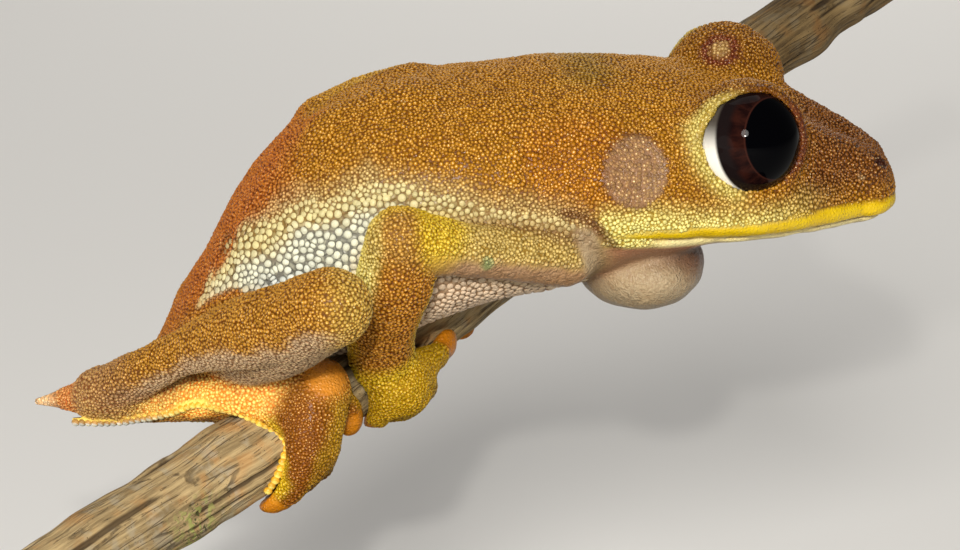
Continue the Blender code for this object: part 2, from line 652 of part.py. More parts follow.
def base_object():
    """The stand's flat base, with round corners and a small chamfer above."""
    shape = bmesh.new()
    bmesh.ops.create_cube(shape, size=1)
    bmesh.ops.scale(shape, vec=Vector(BASE_SIZE) * MM, verts=shape.verts)
    upright = [edge for edge in shape.edges if abs(edge.verts[0].co.z - edge.verts[1].co.z) > MM]
    bmesh.ops.bevel(shape, geom=upright, offset=BASE_CORNER * MM, segments=6, profile=0.5, affect="EDGES")
    top = [edge for edge in shape.edges if min(vert.co.z for vert in edge.verts) > 0]
    bmesh.ops.bevel(shape, geom=top, offset=0.8 * MM, segments=2, profile=0.5, affect="EDGES")
    mesh = bpy.data.meshes.new("stand_base")
    shape.to_mesh(mesh)
    shape.free()
    obj = bpy.data.objects.new("stand_base", mesh)
    obj.location = Vector((0, 0, BASE_SIZE[2] / 2 * MM))
    finish(obj, material("black_base", (0.02, 0.02, 0.022), 0.35))
    return obj


def rod_object():
    """The rod from the base to the underside of the branch, whose top is hollowed to fit the bark."""
    centre = branch_frame(ROD_ALONG)[0] + LIFT
    low = BASE_SIZE[2] + GAP
    high = centre[2]
    shape = bmesh.new()
    bmesh.ops.create_cone(shape, cap_ends=True, segments=24, radius1=ROD_RADIUS * MM, radius2=ROD_RADIUS * MM,
                          depth=(high - low) * MM)
    mesh = bpy.data.meshes.new("stand_rod")
    shape.to_mesh(mesh)
    shape.free()
    obj = bpy.data.objects.new("stand_rod", mesh)
    obj.location = Vector((centre[0], centre[1], (high + low) / 2)) * MM
    finish(obj, material("steel_rod", (0.55, 0.55, 0.56), 0.3, 1.0))
    cutter = bpy.data.objects.new("bark_cutter", branch_mesh("bark_cutter", GAP, BRANCH_RINGS))
    bpy.context.scene.collection.objects.link(cutter)
    cutter.hide_render = True
    cutter.display_type = "WIRE"
    fit = obj.modifiers.new("fit", "BOOLEAN")
    fit.operation = "DIFFERENCE"
    fit.object = cutter
    return obj


ORANGE = (0.50, 0.20, 0.03)
GOLD = (0.55, 0.27, 0.05)
PALE = (0.62, 0.42, 0.30)


def build():
    """Builds every object."""
    for old in list(bpy.data.objects):
        bpy.data.objects.remove(old)
    flesh_object("torso", GOLD, 0.55, 1700)
    flesh_object("head", GOLD, 0.36, 3600, jaw=False)
    flesh_object("lower_jaw", PALE, 0.36, 700, source="head", jaw=True)
    flesh_object("throat_sac", PALE, 0.45, 250)
    eye_object("eye_right", -1)
    eye_object("eye_left", 1)
    for side in ("right", "left"):
        flesh_object("upper_arm_" + side, GOLD, 0.42, 240)
        flesh_object("forearm_" + side, ORANGE, 0.42, 280)
        flesh_object("hand_" + side, GOLD, 0.25, 850)
        flesh_object("thigh_" + side, ORANGE, 0.5, 320)
        flesh_object("shank_" + side, ORANGE, 0.45, 320)
        flesh_object("tarsus_" + side, ORANGE, 0.36, 340)
        flesh_object("foot_" + side, ORANGE, 0.25, 1000)
    branch_object()
    base_object()
    rod_object()


build()
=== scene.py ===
"""Looks of the pombals tree frog on its cut branch: skin, eyes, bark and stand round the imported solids.

The soft forms repeat the frog's own measures, in millimetres from the middle of its trunk, with x
towards the snout, y towards the frog's left and z up. They are melted into one unbroken skin, whose
zones (back, flank, belly, limbs, lips, eardrum) are kept as attributes that the materials read.
"""
import math

import bmesh
import bpy
import numpy as np
from mathutils import Euler, Matrix, Vector, kdtree


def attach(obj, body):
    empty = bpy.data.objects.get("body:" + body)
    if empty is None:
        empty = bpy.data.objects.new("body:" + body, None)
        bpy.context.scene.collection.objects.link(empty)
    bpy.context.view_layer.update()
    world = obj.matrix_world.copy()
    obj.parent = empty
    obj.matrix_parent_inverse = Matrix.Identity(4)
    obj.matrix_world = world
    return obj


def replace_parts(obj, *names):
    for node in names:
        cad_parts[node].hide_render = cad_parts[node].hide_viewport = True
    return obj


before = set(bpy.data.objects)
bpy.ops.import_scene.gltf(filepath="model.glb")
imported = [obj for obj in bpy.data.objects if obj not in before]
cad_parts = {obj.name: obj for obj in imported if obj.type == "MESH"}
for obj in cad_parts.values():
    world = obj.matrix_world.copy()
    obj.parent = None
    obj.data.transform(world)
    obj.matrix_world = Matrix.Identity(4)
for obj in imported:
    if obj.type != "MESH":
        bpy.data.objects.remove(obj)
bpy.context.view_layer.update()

MM = 0.001
FAR = 9.0
BOX_MARGIN = 3.0
SKIN_STEP = 0.28

# Where the trunk's middle is, in millimetres above the middle of the base's underside
LIFT = np.array((-2.0, 1.5, 46.0))

# Camera, as the photo sees the frog
CAMERA_TARGET = (0.0, 0.0001, 0.0408)
CAMERA_TURN = math.radians(-6.0)
CAMERA_RISE = math.radians(16.0)
CAMERA_DISTANCE = 0.25
CAMERA_LENS = 131.25
CAMERA_SENSOR = 36.0

# Branch, from its lower cut end to its upper one: x, y, z and radius
BRANCH = [(-34.5, -23.4, -22.7, 2.95), (-20.6, -12.1, -18.0, 3.0), (-15.2, -8.9, -15.8, 2.95),
          (-7.6, -3.3, -11.9, 2.9), (2.0, 6.4, -8.1, 2.8), (12.8, 15.4, -2.6, 2.75), (27.7, 27.0, 4.8, 2.7),
          (42.3, 35.7, 11.2, 2.6)]
BRANCH_KNOTS = [(9.0, 100.0, 0.35), (24.0, -60.0, 0.25), (56.0, 150.0, 0.3), (88.0, 120.0, 0.5)]
KNOT_LENGTH = 2.4

# Trunk: x, top and bottom of its outline, half width
TRUNK = [(-21.4, -10.4, -12.5, 1.4), (-19.3, -6.8, -13.1, 3.9), (-17.1, -2.9, -13.2, 5.4),
         (-15.0, 1.0, -12.7, 6.7), (-12.9, 3.8, -12.0, 7.7), (-10.7, 5.9, -11.3, 8.5),
         (-7.1, 8.1, -10.4, 9.5), (-3.6, 9.0, -8.9, 10.1), (0.0, 9.4, -7.4, 10.3), (3.6, 9.7, -6.4, 10.1),
         (7.1, 9.8, -5.9, 9.7), (10.7, 9.5, -5.0, 9.3), (13.5, 9.2, -3.8, 9.0)]
TRUNK_WAIST = 0.46
TRUNK_BULGE = 2.25
HIPS = [(-9.0, 2.8, 5.7, 1.3), (-2.5, 2.8, 7.5, 1.5)]

# Head, in its own frame: x forward from the line between the eyes' centres
HEAD_PLACE = np.array([20.7, -0.6, 6.25])
HEAD_TURN = (math.radians(8.0), math.radians(3.0), math.radians(-2.0))
HEAD = [(-13.0, 2.0, -9.3, 9.6), (-10.0, 2.3, -9.0, 9.85), (-7.0, 2.45, -8.8, 9.75), (-3.5, 2.45, -8.5, 9.5),
        (0.0, 2.0, -8.3, 9.0), (2.0, 1.2, -8.15, 8.2), (3.7, 0.3, -8.0, 7.25), (5.5, -0.7, -7.9, 6.1),
        (7.2, -1.6, -7.8, 4.95), (9.0, -2.3, -7.6, 3.8)]
HEAD_WAIST = 0.32
HEAD_BULGE = 2.0
SNOUT_ROUND = 2.5
SNOUT_SLOPE = (0.62, 0.0, 0.785)
SNOUT_REACH = 4.3
CANTHUS = [(3.2, 3.6, -0.7, 1.1), (9.2, 2.0, -3.0, 0.9)]
NAPE_ROUND = 3.0
NECK = 9.4
MOUTH_FRONT = -6.55
MOUTH_CORNER = (-10.2, -6.0)
MOUTH_GROOVE = 0.3
LIP_SWELL = 0.22
EYE_PLACE = (-0.35, 6.0, 0.1)
EYE_BALL = 3.74
EYE_AXIS = (0.17, 0.97, 0.17)
GAZE = np.array([0.62, 0.709, 0.336])
LID_RADIUS = 4.22
LID_EDGE = 1.1
LID_ROLL = 0.27
TYMPANUM = (-8.0, 8.9, -1.4)
TYMPANUM_RADIUS = 2.3
NOSTRIL = (9.6, 2.2, -3.05)
NOSTRIL_PIT = (10.05, 2.12, -2.95)
SAC = ((13.5, -0.9, -4.6), (4.65, 6.4, 3.15))
NECK_FOLD = [(6.9, 10.0, 1.5, 0.1), (8.8, 10.0, 0.85, 0.1), (9.9, 9.8, -0.5, 0.1), (10.9, 9.2, -1.7, 0.1)]

# Limbs: route points with their radii; the right side is the near one
LIMBS = {
    "right": {
        "upper_arm": [(7.2, -7.4, -1.9, 2.5), (1.3, -10.6, -0.9, 1.8), (-4.5, -12.6, 0.6, 2.25)],
        "forearm": [(-4.5, -12.6, 0.6, 2.25), (-5.0, -11.7, -2.6, 2.6), (-5.6, -9.0, -6.6, 2.25),
                    (-5.4, -6.4, -9.9, 2.2)],
        "thigh": [(-16.5, -3.5, -9.4, 2.9), (-13.2, -12.5, -5.9, 2.9), (-9.8, -20.6, -1.6, 2.5)],
        "shank": [(-9.8, -20.6, -1.6, 2.5), (-14.9, -14.8, -4.85, 2.4), (-19.6, -9.4, -7.9, 1.5),
                  (-25.0, -3.6, -12.6, 1.9)],
        "tarsus": [(-25.0, -3.6, -12.6, 1.9), (-20.3, -5.5, -12.5, 1.5), (-15.0, -7.9, -11.3, 1.6),
                   (-9.9, -9.5, -10.6, 1.9)]},
    "left": {
        "upper_arm": [(7.2, 7.4, -1.9, 2.5), (2.2, 12.0, -0.4, 1.8), (-2.4, 15.4, 0.8, 2.2)],
        "forearm": [(-2.4, 15.4, 0.8, 2.2), (-2.6, 15.0, -2.2, 2.45), (-2.2, 12.2, -5.0, 2.05),
                    (-1.4, 9.0, -7.0, 1.75)],
        "thigh": [(-16.2, 3.0, -8.3, 3.0), (-12.5, 11.0, -9.3, 3.3), (-7.0, 20.0, -6.5, 2.5)],
        "shank": [(-7.0, 20.0, -6.5, 2.5), (-12.3, 14.4, -9.8, 2.5), (-17.6, 9.2, -13.0, 1.9),
                  (-21.8, 4.9, -14.7, 1.7)],
        "tarsus": [(-21.8, 4.9, -14.7, 1.7), (-19.4, 3.2, -15.4, 1.4), (-15.8, 1.0, -14.8, 1.5),
                   (-12.6, -0.8, -13.7, 1.8)]}}
SPUR_LEAN = np.array((-4.6, 2.2, -1.0))

# Fingers and toes lie on the branch: place along it, angle round it from the top towards the
# frog's right, height of the centre line above the bark, radius. The last point is the disc.
DIGITS = {
    "right": {"hand": [
        [(36.4, 82, 1.7, 1.7), (39.4, 90, 1.3, 1.0), (40.9, 96, 0.9, 0.85), (42.2, 98, 0.5, 1.25)],
        [(36.0, 88, 1.8, 1.9), (38.4, 112, 1.4, 1.1), (39.3, 138, 0.9, 0.85), (39.6, 172, 0.5, 1.1)],
        [(35.9, 90, 1.8, 1.9), (36.8, 120, 1.4, 1.1), (37.0, 152, 0.9, 0.85), (36.9, 184, 0.5, 1.1)],
        [(35.3, 84, 1.6, 1.8), (34.6, 108, 1.1, 0.95), (34.7, 126, 0.8, 0.8), (35.2, 144, 0.5, 1.05)]],
              "foot": [
        [(29.6, 52, 1.8, 1.8), (27.7, 78, 1.6, 1.4), (26.4, 108, 1.2, 1.05), (25.2, 150, 0.6, 1.2)],
        [(30.0, 54, 1.8, 1.7), (28.3, 92, 1.5, 1.25), (27.3, 126, 0.9, 0.95), (26.8, 166, 0.5, 1.15)],
        [(30.4, 56, 1.8, 1.6), (29.0, 96, 1.2, 1.05), (28.6, 136, 0.8, 0.85), (28.6, 176, 0.5, 1.15)],
        [(31.0, 46, 1.7, 1.5), (31.8, 66, 1.0, 0.85), (32.2, 84, 0.8, 0.75), (32.0, 100, 0.6, 1.1)],
        [(30.6, 34, 1.6, 1.4), (29.8, 2, 0.9, 0.75), (29.0, -28, 0.7, 0.65), (28.4, -50, 0.5, 0.95)]]},
    "left": {"hand": [
        [(48.4, -70, 1.5, 1.5), (50.4, -92, 1.1, 0.85), (51.3, -118, 0.8, 0.7), (51.9, -146, 0.5, 1.1)],
        [(48.2, -74, 1.5, 1.5), (48.4, -104, 1.2, 0.85), (48.4, -134, 0.9, 0.75), (48.3, -168, 0.5, 1.1)],
        [(47.8, -72, 1.5, 1.5), (46.2, -98, 1.1, 0.85), (45.3, -124, 0.8, 0.7), (44.6, -150, 0.5, 1.05)],
        [(48.6, -64, 1.5, 1.4), (51.4, -66, 1.0, 0.8), (53.2, -74, 0.8, 0.7), (54.8, -86, 0.5, 1.0)]],
             "foot": [
        [(33.0, -98, 1.8, 1.6), (31.8, -124, 1.2, 1.0), (31.2, -142, 0.9, 0.8), (31.0, -158, 0.5, 1.15)],
        [(33.2, -98, 1.8, 1.6), (33.4, -124, 1.2, 1.0), (33.6, -144, 0.9, 0.8), (33.8, -162, 0.5, 1.15)],
        [(33.0, -92, 1.7, 1.5), (31.0, -104, 1.1, 0.9), (29.4, -116, 0.8, 0.75), (28.2, -130, 0.5, 1.1)],
        [(33.0, -90, 1.7, 1.4), (34.6, -98, 1.0, 0.85), (35.6, -108, 0.8, 0.7), (36.2, -120, 0.5, 1.05)]]}}
DISC_THICK = 0.5

# How wide each part melts into those before it
MELTING = {"upper_arm": 0.5, "forearm": 0.5, "hand": 0.5, "thigh": 1.8, "shank": 0.4, "tarsus": 0.5,
           "foot": 0.5}

# Fine forms and marks of the skin
BARK_CLEARANCE = 0.05
FLANK_BORDER = [(-20.5, -9.0), (-18.8, -6.9), (-16.9, -3.2), (-15.2, -0.7), (-13.1, 0.8), (-11.1, 2.0),
                (-8.0, 2.9), (-4.3, 3.9), (-1.7, 3.1), (1.1, 2.3), (3.8, 1.6), (6.5, 1.0), (8.5, 0.3),
                (10.0, -1.5)]
HIP_LINE = [(-9.5, -0.1), (-4.7, 1.9), (-2.0, 3.0)]
STRIPE_TOP = [(-9, 0.5), (-5, 0.9), (0, 1.25), (6, 1.5), (11, 1.3)]
RUMP_FOLD = (-16.04, -3.44, -1.74)
LID_SPOT = (-1.3, 3.36, 3.26)
LIP_SPOT = (8.6, -3.64, -3.43)
ARM_SPOT = (1.32, -12.45, -1.32)
INSTEP_R = (-9.6, -10.7, -9.5)

# Frilled skin edges: how far from the limb's axis they run, their thickness and the pitch of their beads
FRILL_OUT = 0.93
FRILL_RADIUS = 0.26
BEAD_PITCH = 0.46
FRINGE_R = [(-27.0, -4.5, -14.1), (-24.6, -5.2, -14.0), (-22.5, -5.9, -13.6), (-20.4, -6.9, -12.9),
            (-18.6, -7.9, -12.0), (-16.9, -8.6, -12.1), (-15.6, -9.2, -12.3), (-14.1, -9.8, -12.9),
            (-12.5, -10.2, -14.0), (-12.6, -10.6, -15.1), (-13.1, -11.0, -16.4), (-13.8, -11.0, -17.5)]
FRINGE_WAY = (-0.3, -0.55, -0.78)
TARSUS_L_WAY = (-0.03, 0.27, -0.96)
BEHIND = (-0.995, -0.1, 0.0)
WEB_R = [(-15.2, -8.2, -11.6, 1.35), (-12.6, -9.3, -12.3, 1.7), (-11.0, -10.0, -13.0, 1.8)]

# What grows where on the skin, and how far apart
COATS = {"bare": 0, "head": 2, "back": 4, "right": 6, "left": 8, "cells": 11, "soles": 13, "small": 15}
SAMPLES = 10
EVENING_ROUNDS = 5
CELL_ROUNDS = 8
CELL_SPACING = 0.6
SMALL_SPACING = 0.43
CELL_GAP = 0.94
CELL_PROFILE = ((0.5, 0.9), (0.82, 0.55), (1.0, -0.35))
GRANULE_SIZE = 0.00026
CELL_SIZE = 0.00058

# Bark
BARK_RINGS = 420
BARK_SIDES = 110
LICHEN_ALONG = 18.6


def ramp(value, low, high):
    """Rises smoothly from 0 at low to 1 at high."""
    t = np.clip((value - low) / (high - low), 0, 1)
    return t * t * (3 - 2 * t)


def fade(value, low, high):
    """Falls smoothly from 1 at low to 0 at high."""
    return 1 - ramp(value, low, high)


def bump(value, width):
    """A soft hill of height one."""
    return np.exp(-(value / width) ** 2)


def apart(points, place):
    """Distance of each point from a place."""
    return np.linalg.norm(points - place, axis=1)


def mirror(points):
    """The points with both sides laid on the left one."""
    return points * (1, 0, 1) + np.abs(points) * (0, 1, 0)


def normed(vector):
    """The same direction at length one."""
    return vector / np.linalg.norm(vector)


def lattice(cells, seed):
    """A repeatable random number from 0 to 1 for each whole-numbered cell."""
    mixed = cells[..., 0] * 73856093 ^ cells[..., 1] * 19349663 ^ cells[..., 2] * 83492791 ^ seed * 2654435
    mixed = (mixed ^ (mixed >> 13)) * 1274126177 & 0x7FFFFFFF
    return ((mixed ^ (mixed >> 16)) & 0xFFFFF) / 0xFFFFF


def noise(points, size, seed):
    """Smooth noise from -1 to 1 whose lumps are about size across."""
    scaled = points / size
    cells = np.floor(scaled).astype(np.int64)
    part = scaled - cells
    part = part * part * (3 - 2 * part)
    total = np.zeros(len(points))
    for corner in np.ndindex(2, 2, 2):
        share = np.prod(np.where(corner, part, 1 - part), axis=1)
        total += share * lattice(cells + corner, seed)
    return 2 * total - 1


def wrinkles(points, place, direction, reach, spacing, height):
    """Soft parallel folds round a place, across a direction."""
    offset = points - place
    along = offset @ normed(np.asarray(direction))
    return height * np.cos(2 * math.pi * along / spacing) * bump(np.linalg.norm(offset, axis=1), reach)


def smooth_union(first, second, blend):
    """Joins two distance fields with a fillet about as wide as blend."""
    overlap = np.maximum(blend - np.abs(first - second), 0.0) / blend
    return np.minimum(first, second) - overlap * overlap * blend / 4


def smooth_path(points, steps):
    """A smooth curve through points of any number of values, sampled steps times a span."""
    points = np.asarray(points, float)
    ends = np.vstack([2 * points[0] - points[1], points, 2 * points[-1] - points[-2]])
    samples = []
    for index in range(len(points) - 1):
        p0, p1, p2, p3 = ends[index:index + 4]
        for t in np.arange(steps) / steps:
            samples.append(0.5 * (2 * p1 + (p2 - p0) * t + (2 * p0 - 5 * p1 + 4 * p2 - p3) * t * t
                                  + (3 * p1 - p0 - 3 * p2 + p3) * t ** 3))
    samples.append(points[-1])
    return np.array(samples)


def lengths(path):
    """How far along a path each of its points is."""
    return np.concatenate([[0], np.cumsum(np.linalg.norm(np.diff(path[:, :3], axis=0), axis=1))])


def tube(points, path):
    """Distance to a round tube along a path whose rows are x, y, z and radius."""
    path = np.asarray(path)
    near = np.full(len(points), 1e3)
    for start, end in zip(path[:-1], path[1:]):
        axis = end[:3] - start[:3]
        offset = points - start[:3]
        t = np.clip(offset @ axis / (axis @ axis), 0, 1)
        radius = start[3] + t * (end[3] - start[3])
        near = np.minimum(near, np.linalg.norm(offset - t[:, None] * axis, axis=1) - radius)
    return near


def ellipsoid(points, centre, radii, axes=None):
    """Close to the distance to an ellipsoid; the rows of axes are its own directions."""
    offset = points - np.asarray(centre)
    if axes is not None:
        offset = offset @ axes.T
    scaled = offset / np.asarray(radii)
    level = np.linalg.norm(scaled, axis=1) + 1e-9
    slope = np.linalg.norm(scaled / np.asarray(radii), axis=1) + 1e-9
    return level * (level - 1) / slope


def loft(points, rows, waist, bulge, round_back, round_front):
    """Distance to a body whose rows give x, top, bottom and half width, its ends rounded off."""
    table = smooth_path(rows, 12)
    x = np.clip(points[:, 0], table[0, 0], table[-1, 0])
    top, bottom, half = (np.interp(x, table[:, 0], table[:, column]) for column in (1, 2, 3))
    middle = bottom + waist * (top - bottom)
    rise = points[:, 2] - middle
    height = np.where(rise > 0, top - middle, middle - bottom)
    across = np.abs(points[:, 1]) / half + 1e-6
    upward = np.abs(rise) / height + 1e-6
    level = (across ** bulge + upward ** bulge) ** (1 / bulge)
    slope = level ** (1 - bulge) * np.hypot(across ** (bulge - 1) / half, upward ** (bulge - 1) / height)
    lean = np.gradient(table[:, 3] + 0.5 * (table[:, 1] - table[:, 2]), table[:, 0]) / 2
    section = (level - 1) / slope / np.sqrt(1 + np.interp(x, table[:, 0], lean) ** 2)
    past = points[:, 0] - x
    corner = np.where(past < 0, round_back, round_front)
    rounded = np.hypot(np.maximum(section + corner, 0), past) - corner
    return np.where(past == 0, section, rounded)


HEAD_AXES = np.array(Euler(HEAD_TURN, "XYZ").to_matrix()).T


def in_head(points):
    """Points in the head's own frame."""
    return (points - HEAD_PLACE) @ HEAD_AXES.T


def mouth_height(x):
    """Height of the mouth's line in the head's frame."""
    t = np.clip((x - MOUTH_CORNER[0]) / (11.4 - MOUTH_CORNER[0]), 0, 1)
    return MOUTH_CORNER[1] + (MOUTH_FRONT - MOUTH_CORNER[1]) * np.sin(t * math.pi / 2)


def skull(points):
    """Head and lower jaw in one, with lids, lips, eardrum ring and nostrils, without the eyes."""
    local = in_head(points)
    x, y, z = local.T
    mirrored = mirror(local)
    field = loft(local, HEAD, HEAD_WAIST, HEAD_BULGE, NAPE_ROUND, SNOUT_ROUND)
    field = smooth_union(field, tube(mirrored, CANTHUS), 2.2)
    above = z - mouth_height(x)
    front = np.clip((x + 12) / 3, 0, 1)
    field = field - 0.16 * bump(apart(mirrored, TYMPANUM) - TYMPANUM_RADIUS, 0.5) * (np.abs(y) > 4)
    field = field - LIP_SWELL * bump(above - 0.9, 0.7) * front
    field = field - 0.5 * LIP_SWELL * bump(above + 0.9, 0.5) * front
    dome = ellipsoid(mirrored, EYE_PLACE, (LID_RADIUS,) * 3)
    rim = (mirrored - EYE_PLACE) @ np.asarray(EYE_AXIS) - LID_EDGE
    field = smooth_union(field, np.maximum(dome, rim), 0.9)
    field = smooth_union(field, ellipsoid(mirrored, NOSTRIL, (0.6,) * 3), 1.2)
    pit = ellipsoid(mirrored, np.asarray(NOSTRIL) + (0.25, 0.35, 0.35), (0.5, 0.42, 0.5))
    return np.maximum(field, -pit)


def sockets(points):
    """Distance to the two hollows that hold the eyes."""
    return apart(mirror(in_head(points)), EYE_PLACE) - EYE_BALL


def trunk(points):
    """The trunk with the two low humps of the hips on its back."""
    field = loft(points, TRUNK, TRUNK_WAIST, TRUNK_BULGE, 1.2, 4.0)
    return smooth_union(field, tube(mirror(points), HIPS), 1.6)


def sac(points):
    """The folded throat sac under the jaw."""
    return ellipsoid(points, *SAC)


BRANCH_PATH = smooth_path(BRANCH, 8)
BRANCH_ALONG = lengths(BRANCH_PATH)


def branch_centre(along):
    """Middle of the branch at a place along it."""
    return np.array([np.interp(along, BRANCH_ALONG, column) for column in BRANCH_PATH.T[:3]])


def branch_frame(along):
    """Centre, direction, upward and rightward directions of the branch at a place along it."""
    forward = normed(branch_centre(along + 0.5) - branch_centre(along - 0.5))
    right = normed(np.cross(forward, (0, 0, 1)))
    return branch_centre(along), forward, np.cross(right, forward), right


def branch_radius(along, angle):
    """Radius of the bark, with a few low knots."""
    radius = np.interp(along, BRANCH_ALONG, BRANCH_PATH[:, 3])
    for place, turn, height in BRANCH_KNOTS:
        aside = np.cos(np.radians(angle - turn))
        radius = radius + height * np.exp(-((along - place) / KNOT_LENGTH) ** 2 + 2.0 * (aside - 1))
    return radius


def branch(points):
    """Distance to the branch, as if its knots went all round."""
    path = BRANCH_PATH.copy()
    for place, _, height in BRANCH_KNOTS:
        path[:, 3] += height * bump(BRANCH_ALONG - place, KNOT_LENGTH)
    return tube(points, path)


def outward(along, angle):
    """Centre of the branch, its direction, and the way out of its bark at an angle."""
    centre, forward, up, right = branch_frame(along)
    turn = math.radians(angle)
    return centre, forward, math.cos(turn) * up + math.sin(turn) * right


def on_branch(along, angle, height):
    """A place above the bark."""
    centre, _, out = outward(along, angle)
    return centre + (branch_radius(along, angle) + height) * out


def digit_path(stations):
    """A finger's or toe's centre line over the branch, with radii, up to its disc."""
    return np.array([[*on_branch(*station[:3]), station[3]] for station in smooth_path(stations, 4)])


def digits(points, fingers):
    """A hand or foot: its fingers with flat discs, joined at the palm."""
    field = np.full(len(points), 1e3)
    for stations in fingers:
        path = digit_path(stations)
        along, angle, _, size = stations[-1]
        _, forward, out = outward(along, angle)
        axes = np.array([forward, np.cross(out, forward), out])
        disc = ellipsoid(points, path[-1, :3], (size, size, DISC_THICK), axes)
        path[-4:, 3] = max(stations[-2][3] * 0.9, 0.6)
        field = smooth_union(field, smooth_union(tube(points, path), disc, 0.5), 0.6)
    return field


def near_only(function, low, high, margin=FAR):
    """Evaluates a field only near its box; elsewhere gives the distance to the box."""
    def field(points):
        away = np.linalg.norm(np.maximum(np.maximum(low - points, points - high), 0), axis=1)
        result = away + 0.5
        close = away < margin
        if close.any():
            result[close] = function(points[close])
        return result
    return field


def joint(side, part):
    """The place where a limb's segment begins."""
    return np.array(LIMBS[side][part][0][:3])


def spur_end(side):
    """The tip of the pointed spur behind a heel."""
    return joint(side, "tarsus") + SPUR_LEAN * (1, 1 if side == "right" else -1, 1)


def segment(stations, heel=None):
    """A limb's segment, with the spur behind its heel if it has one, and its box."""
    path = smooth_path(stations, 6)
    low = (path[:, :3] - path[:, 3:]).min(0)
    high = (path[:, :3] + path[:, 3:]).max(0)
    if heel is None:
        return lambda points: tube(points, path), low, high
    spur = [(*joint(heel, "tarsus"), 1.5), (*spur_end(heel), 0.25)]
    low = np.minimum(low, spur_end("right") - 0.5)
    return lambda points: smooth_union(tube(points, path), tube(points, spur), 0.8), low, high


def grip(fingers):
    """A hand or foot, and its box."""
    places = np.vstack([digit_path(stations)[:, :3] for stations in fingers])
    return lambda points: digits(points, fingers), places.min(0) - 2.2, places.max(0) + 2.2


# Each piece of flesh: field, low and high corner of its box, blend with the rest
FLESH = {}


def add_flesh(name, blend, shape, low, high):
    """Lists a piece of flesh."""
    low, high = np.array(low, float), np.array(high, float)
    FLESH[name] = (near_only(shape, low, high), low, high, blend)


add_flesh("torso", 0.1, trunk, (-23, -11, -14), (17, 11, 11))
add_flesh("head", 2.4, skull, (5, -12, -5), (34, 11, 12))
add_flesh("throat_sac", 0.7, sac, (8.5, -8, -8), (19, 6, -1))
for side, routes in LIMBS.items():
    for part, blend in MELTING.items():
        if part in DIGITS[side]:
            made = grip(DIGITS[side][part])
        else:
            made = segment(routes[part], side if part == "tarsus" else None)
        add_flesh(part + "_" + side, blend, *made)


def flesh_fields(points):
    """Every piece's own field at the points."""
    return {name: entry[0](points) for name, entry in FLESH.items()}


def whole(fields):
    """The frog's skin: all pieces melted together."""
    result = fields["torso"]
    for name, entry in FLESH.items():
        if name != "torso":
            result = smooth_union(result, fields[name], entry[3])
    return result


def field_grid(field, low, high, step):
    """Samples a field on a fine grid, working it out only near its surface."""
    coarse = 4
    counts = np.ceil((high - low) / (step * coarse)).astype(int) + 1
    corners = [low[axis] + step * coarse * np.arange(counts[axis] + 1) for axis in range(3)]
    rough = field(np.stack(np.meshgrid(*corners, indexing="ij"), -1).reshape(-1, 3)).reshape(counts + 1)
    shape = counts * coarse + 1
    lowest = rough[:-1, :-1, :-1].copy()
    for i, j, k in np.ndindex(2, 2, 2):
        block = np.abs(rough[i:i + counts[0], j:j + counts[1], k:k + counts[2]])
        lowest = np.minimum(lowest, block) if i + j + k else block
    busy = lowest < 1.3 * step * coarse
    mask = np.zeros(shape, bool)
    for i, j, k in np.argwhere(busy):
        a, b, c = i * coarse, j * coarse, k * coarse
        mask[a:a + coarse + 1, b:b + coarse + 1, c:c + coarse + 1] = True
    nearest = [np.minimum(np.arange(shape[axis]) // coarse, counts[axis]) for axis in range(3)]
    values = rough[np.ix_(*nearest)].copy()
    where = np.argwhere(mask)
    values[mask] = field(low + where * step)
    return values


def fill_corners(values, step):
    """Closes pinches: grid squares and cubes whose inner corners only meet across a diagonal."""
    small = -0.05 * step
    for _ in range(12):
        inside = values < 0
        changed = 0
        for axis in range(3):
            view = np.moveaxis(values, axis, 0)
            solid = np.moveaxis(inside, axis, 0)
            a, b = solid[:, :-1, :-1], solid[:, :-1, 1:]
            c, d = solid[:, 1:, :-1], solid[:, 1:, 1:]
            falling = a & d & ~b & ~c
            rising = b & c & ~a & ~d
            changed += falling.sum() + rising.sum()
            view[:, :-1, 1:][falling] = small
            view[:, 1:, :-1][falling] = small
            view[:, :-1, :-1][rising] = small
            view[:, 1:, 1:][rising] = small
        inside = values < 0
        count = sum(inside[i:i - 1 or None, j:j - 1 or None, k:k - 1 or None].astype(int)
                    for i, j, k in np.ndindex(2, 2, 2))
        for j, k in np.ndindex(2, 2):
            first = inside[:-1, j:j - 1 or None, k:k - 1 or None]
            second = inside[1:, 1 - j:(1 - j) - 1 or None, 1 - k:(1 - k) - 1 or None]
            pinched = (first & second & (count == 2)) | (~first & ~second & (count == 6))
            changed += pinched.sum()
            for corner in np.ndindex(2, 2, 2):
                part = values[tuple(slice(at, at - 1 or None) for at in corner)]
                part[pinched & (part >= 0)] = small
        if not changed:
            return values
    return values


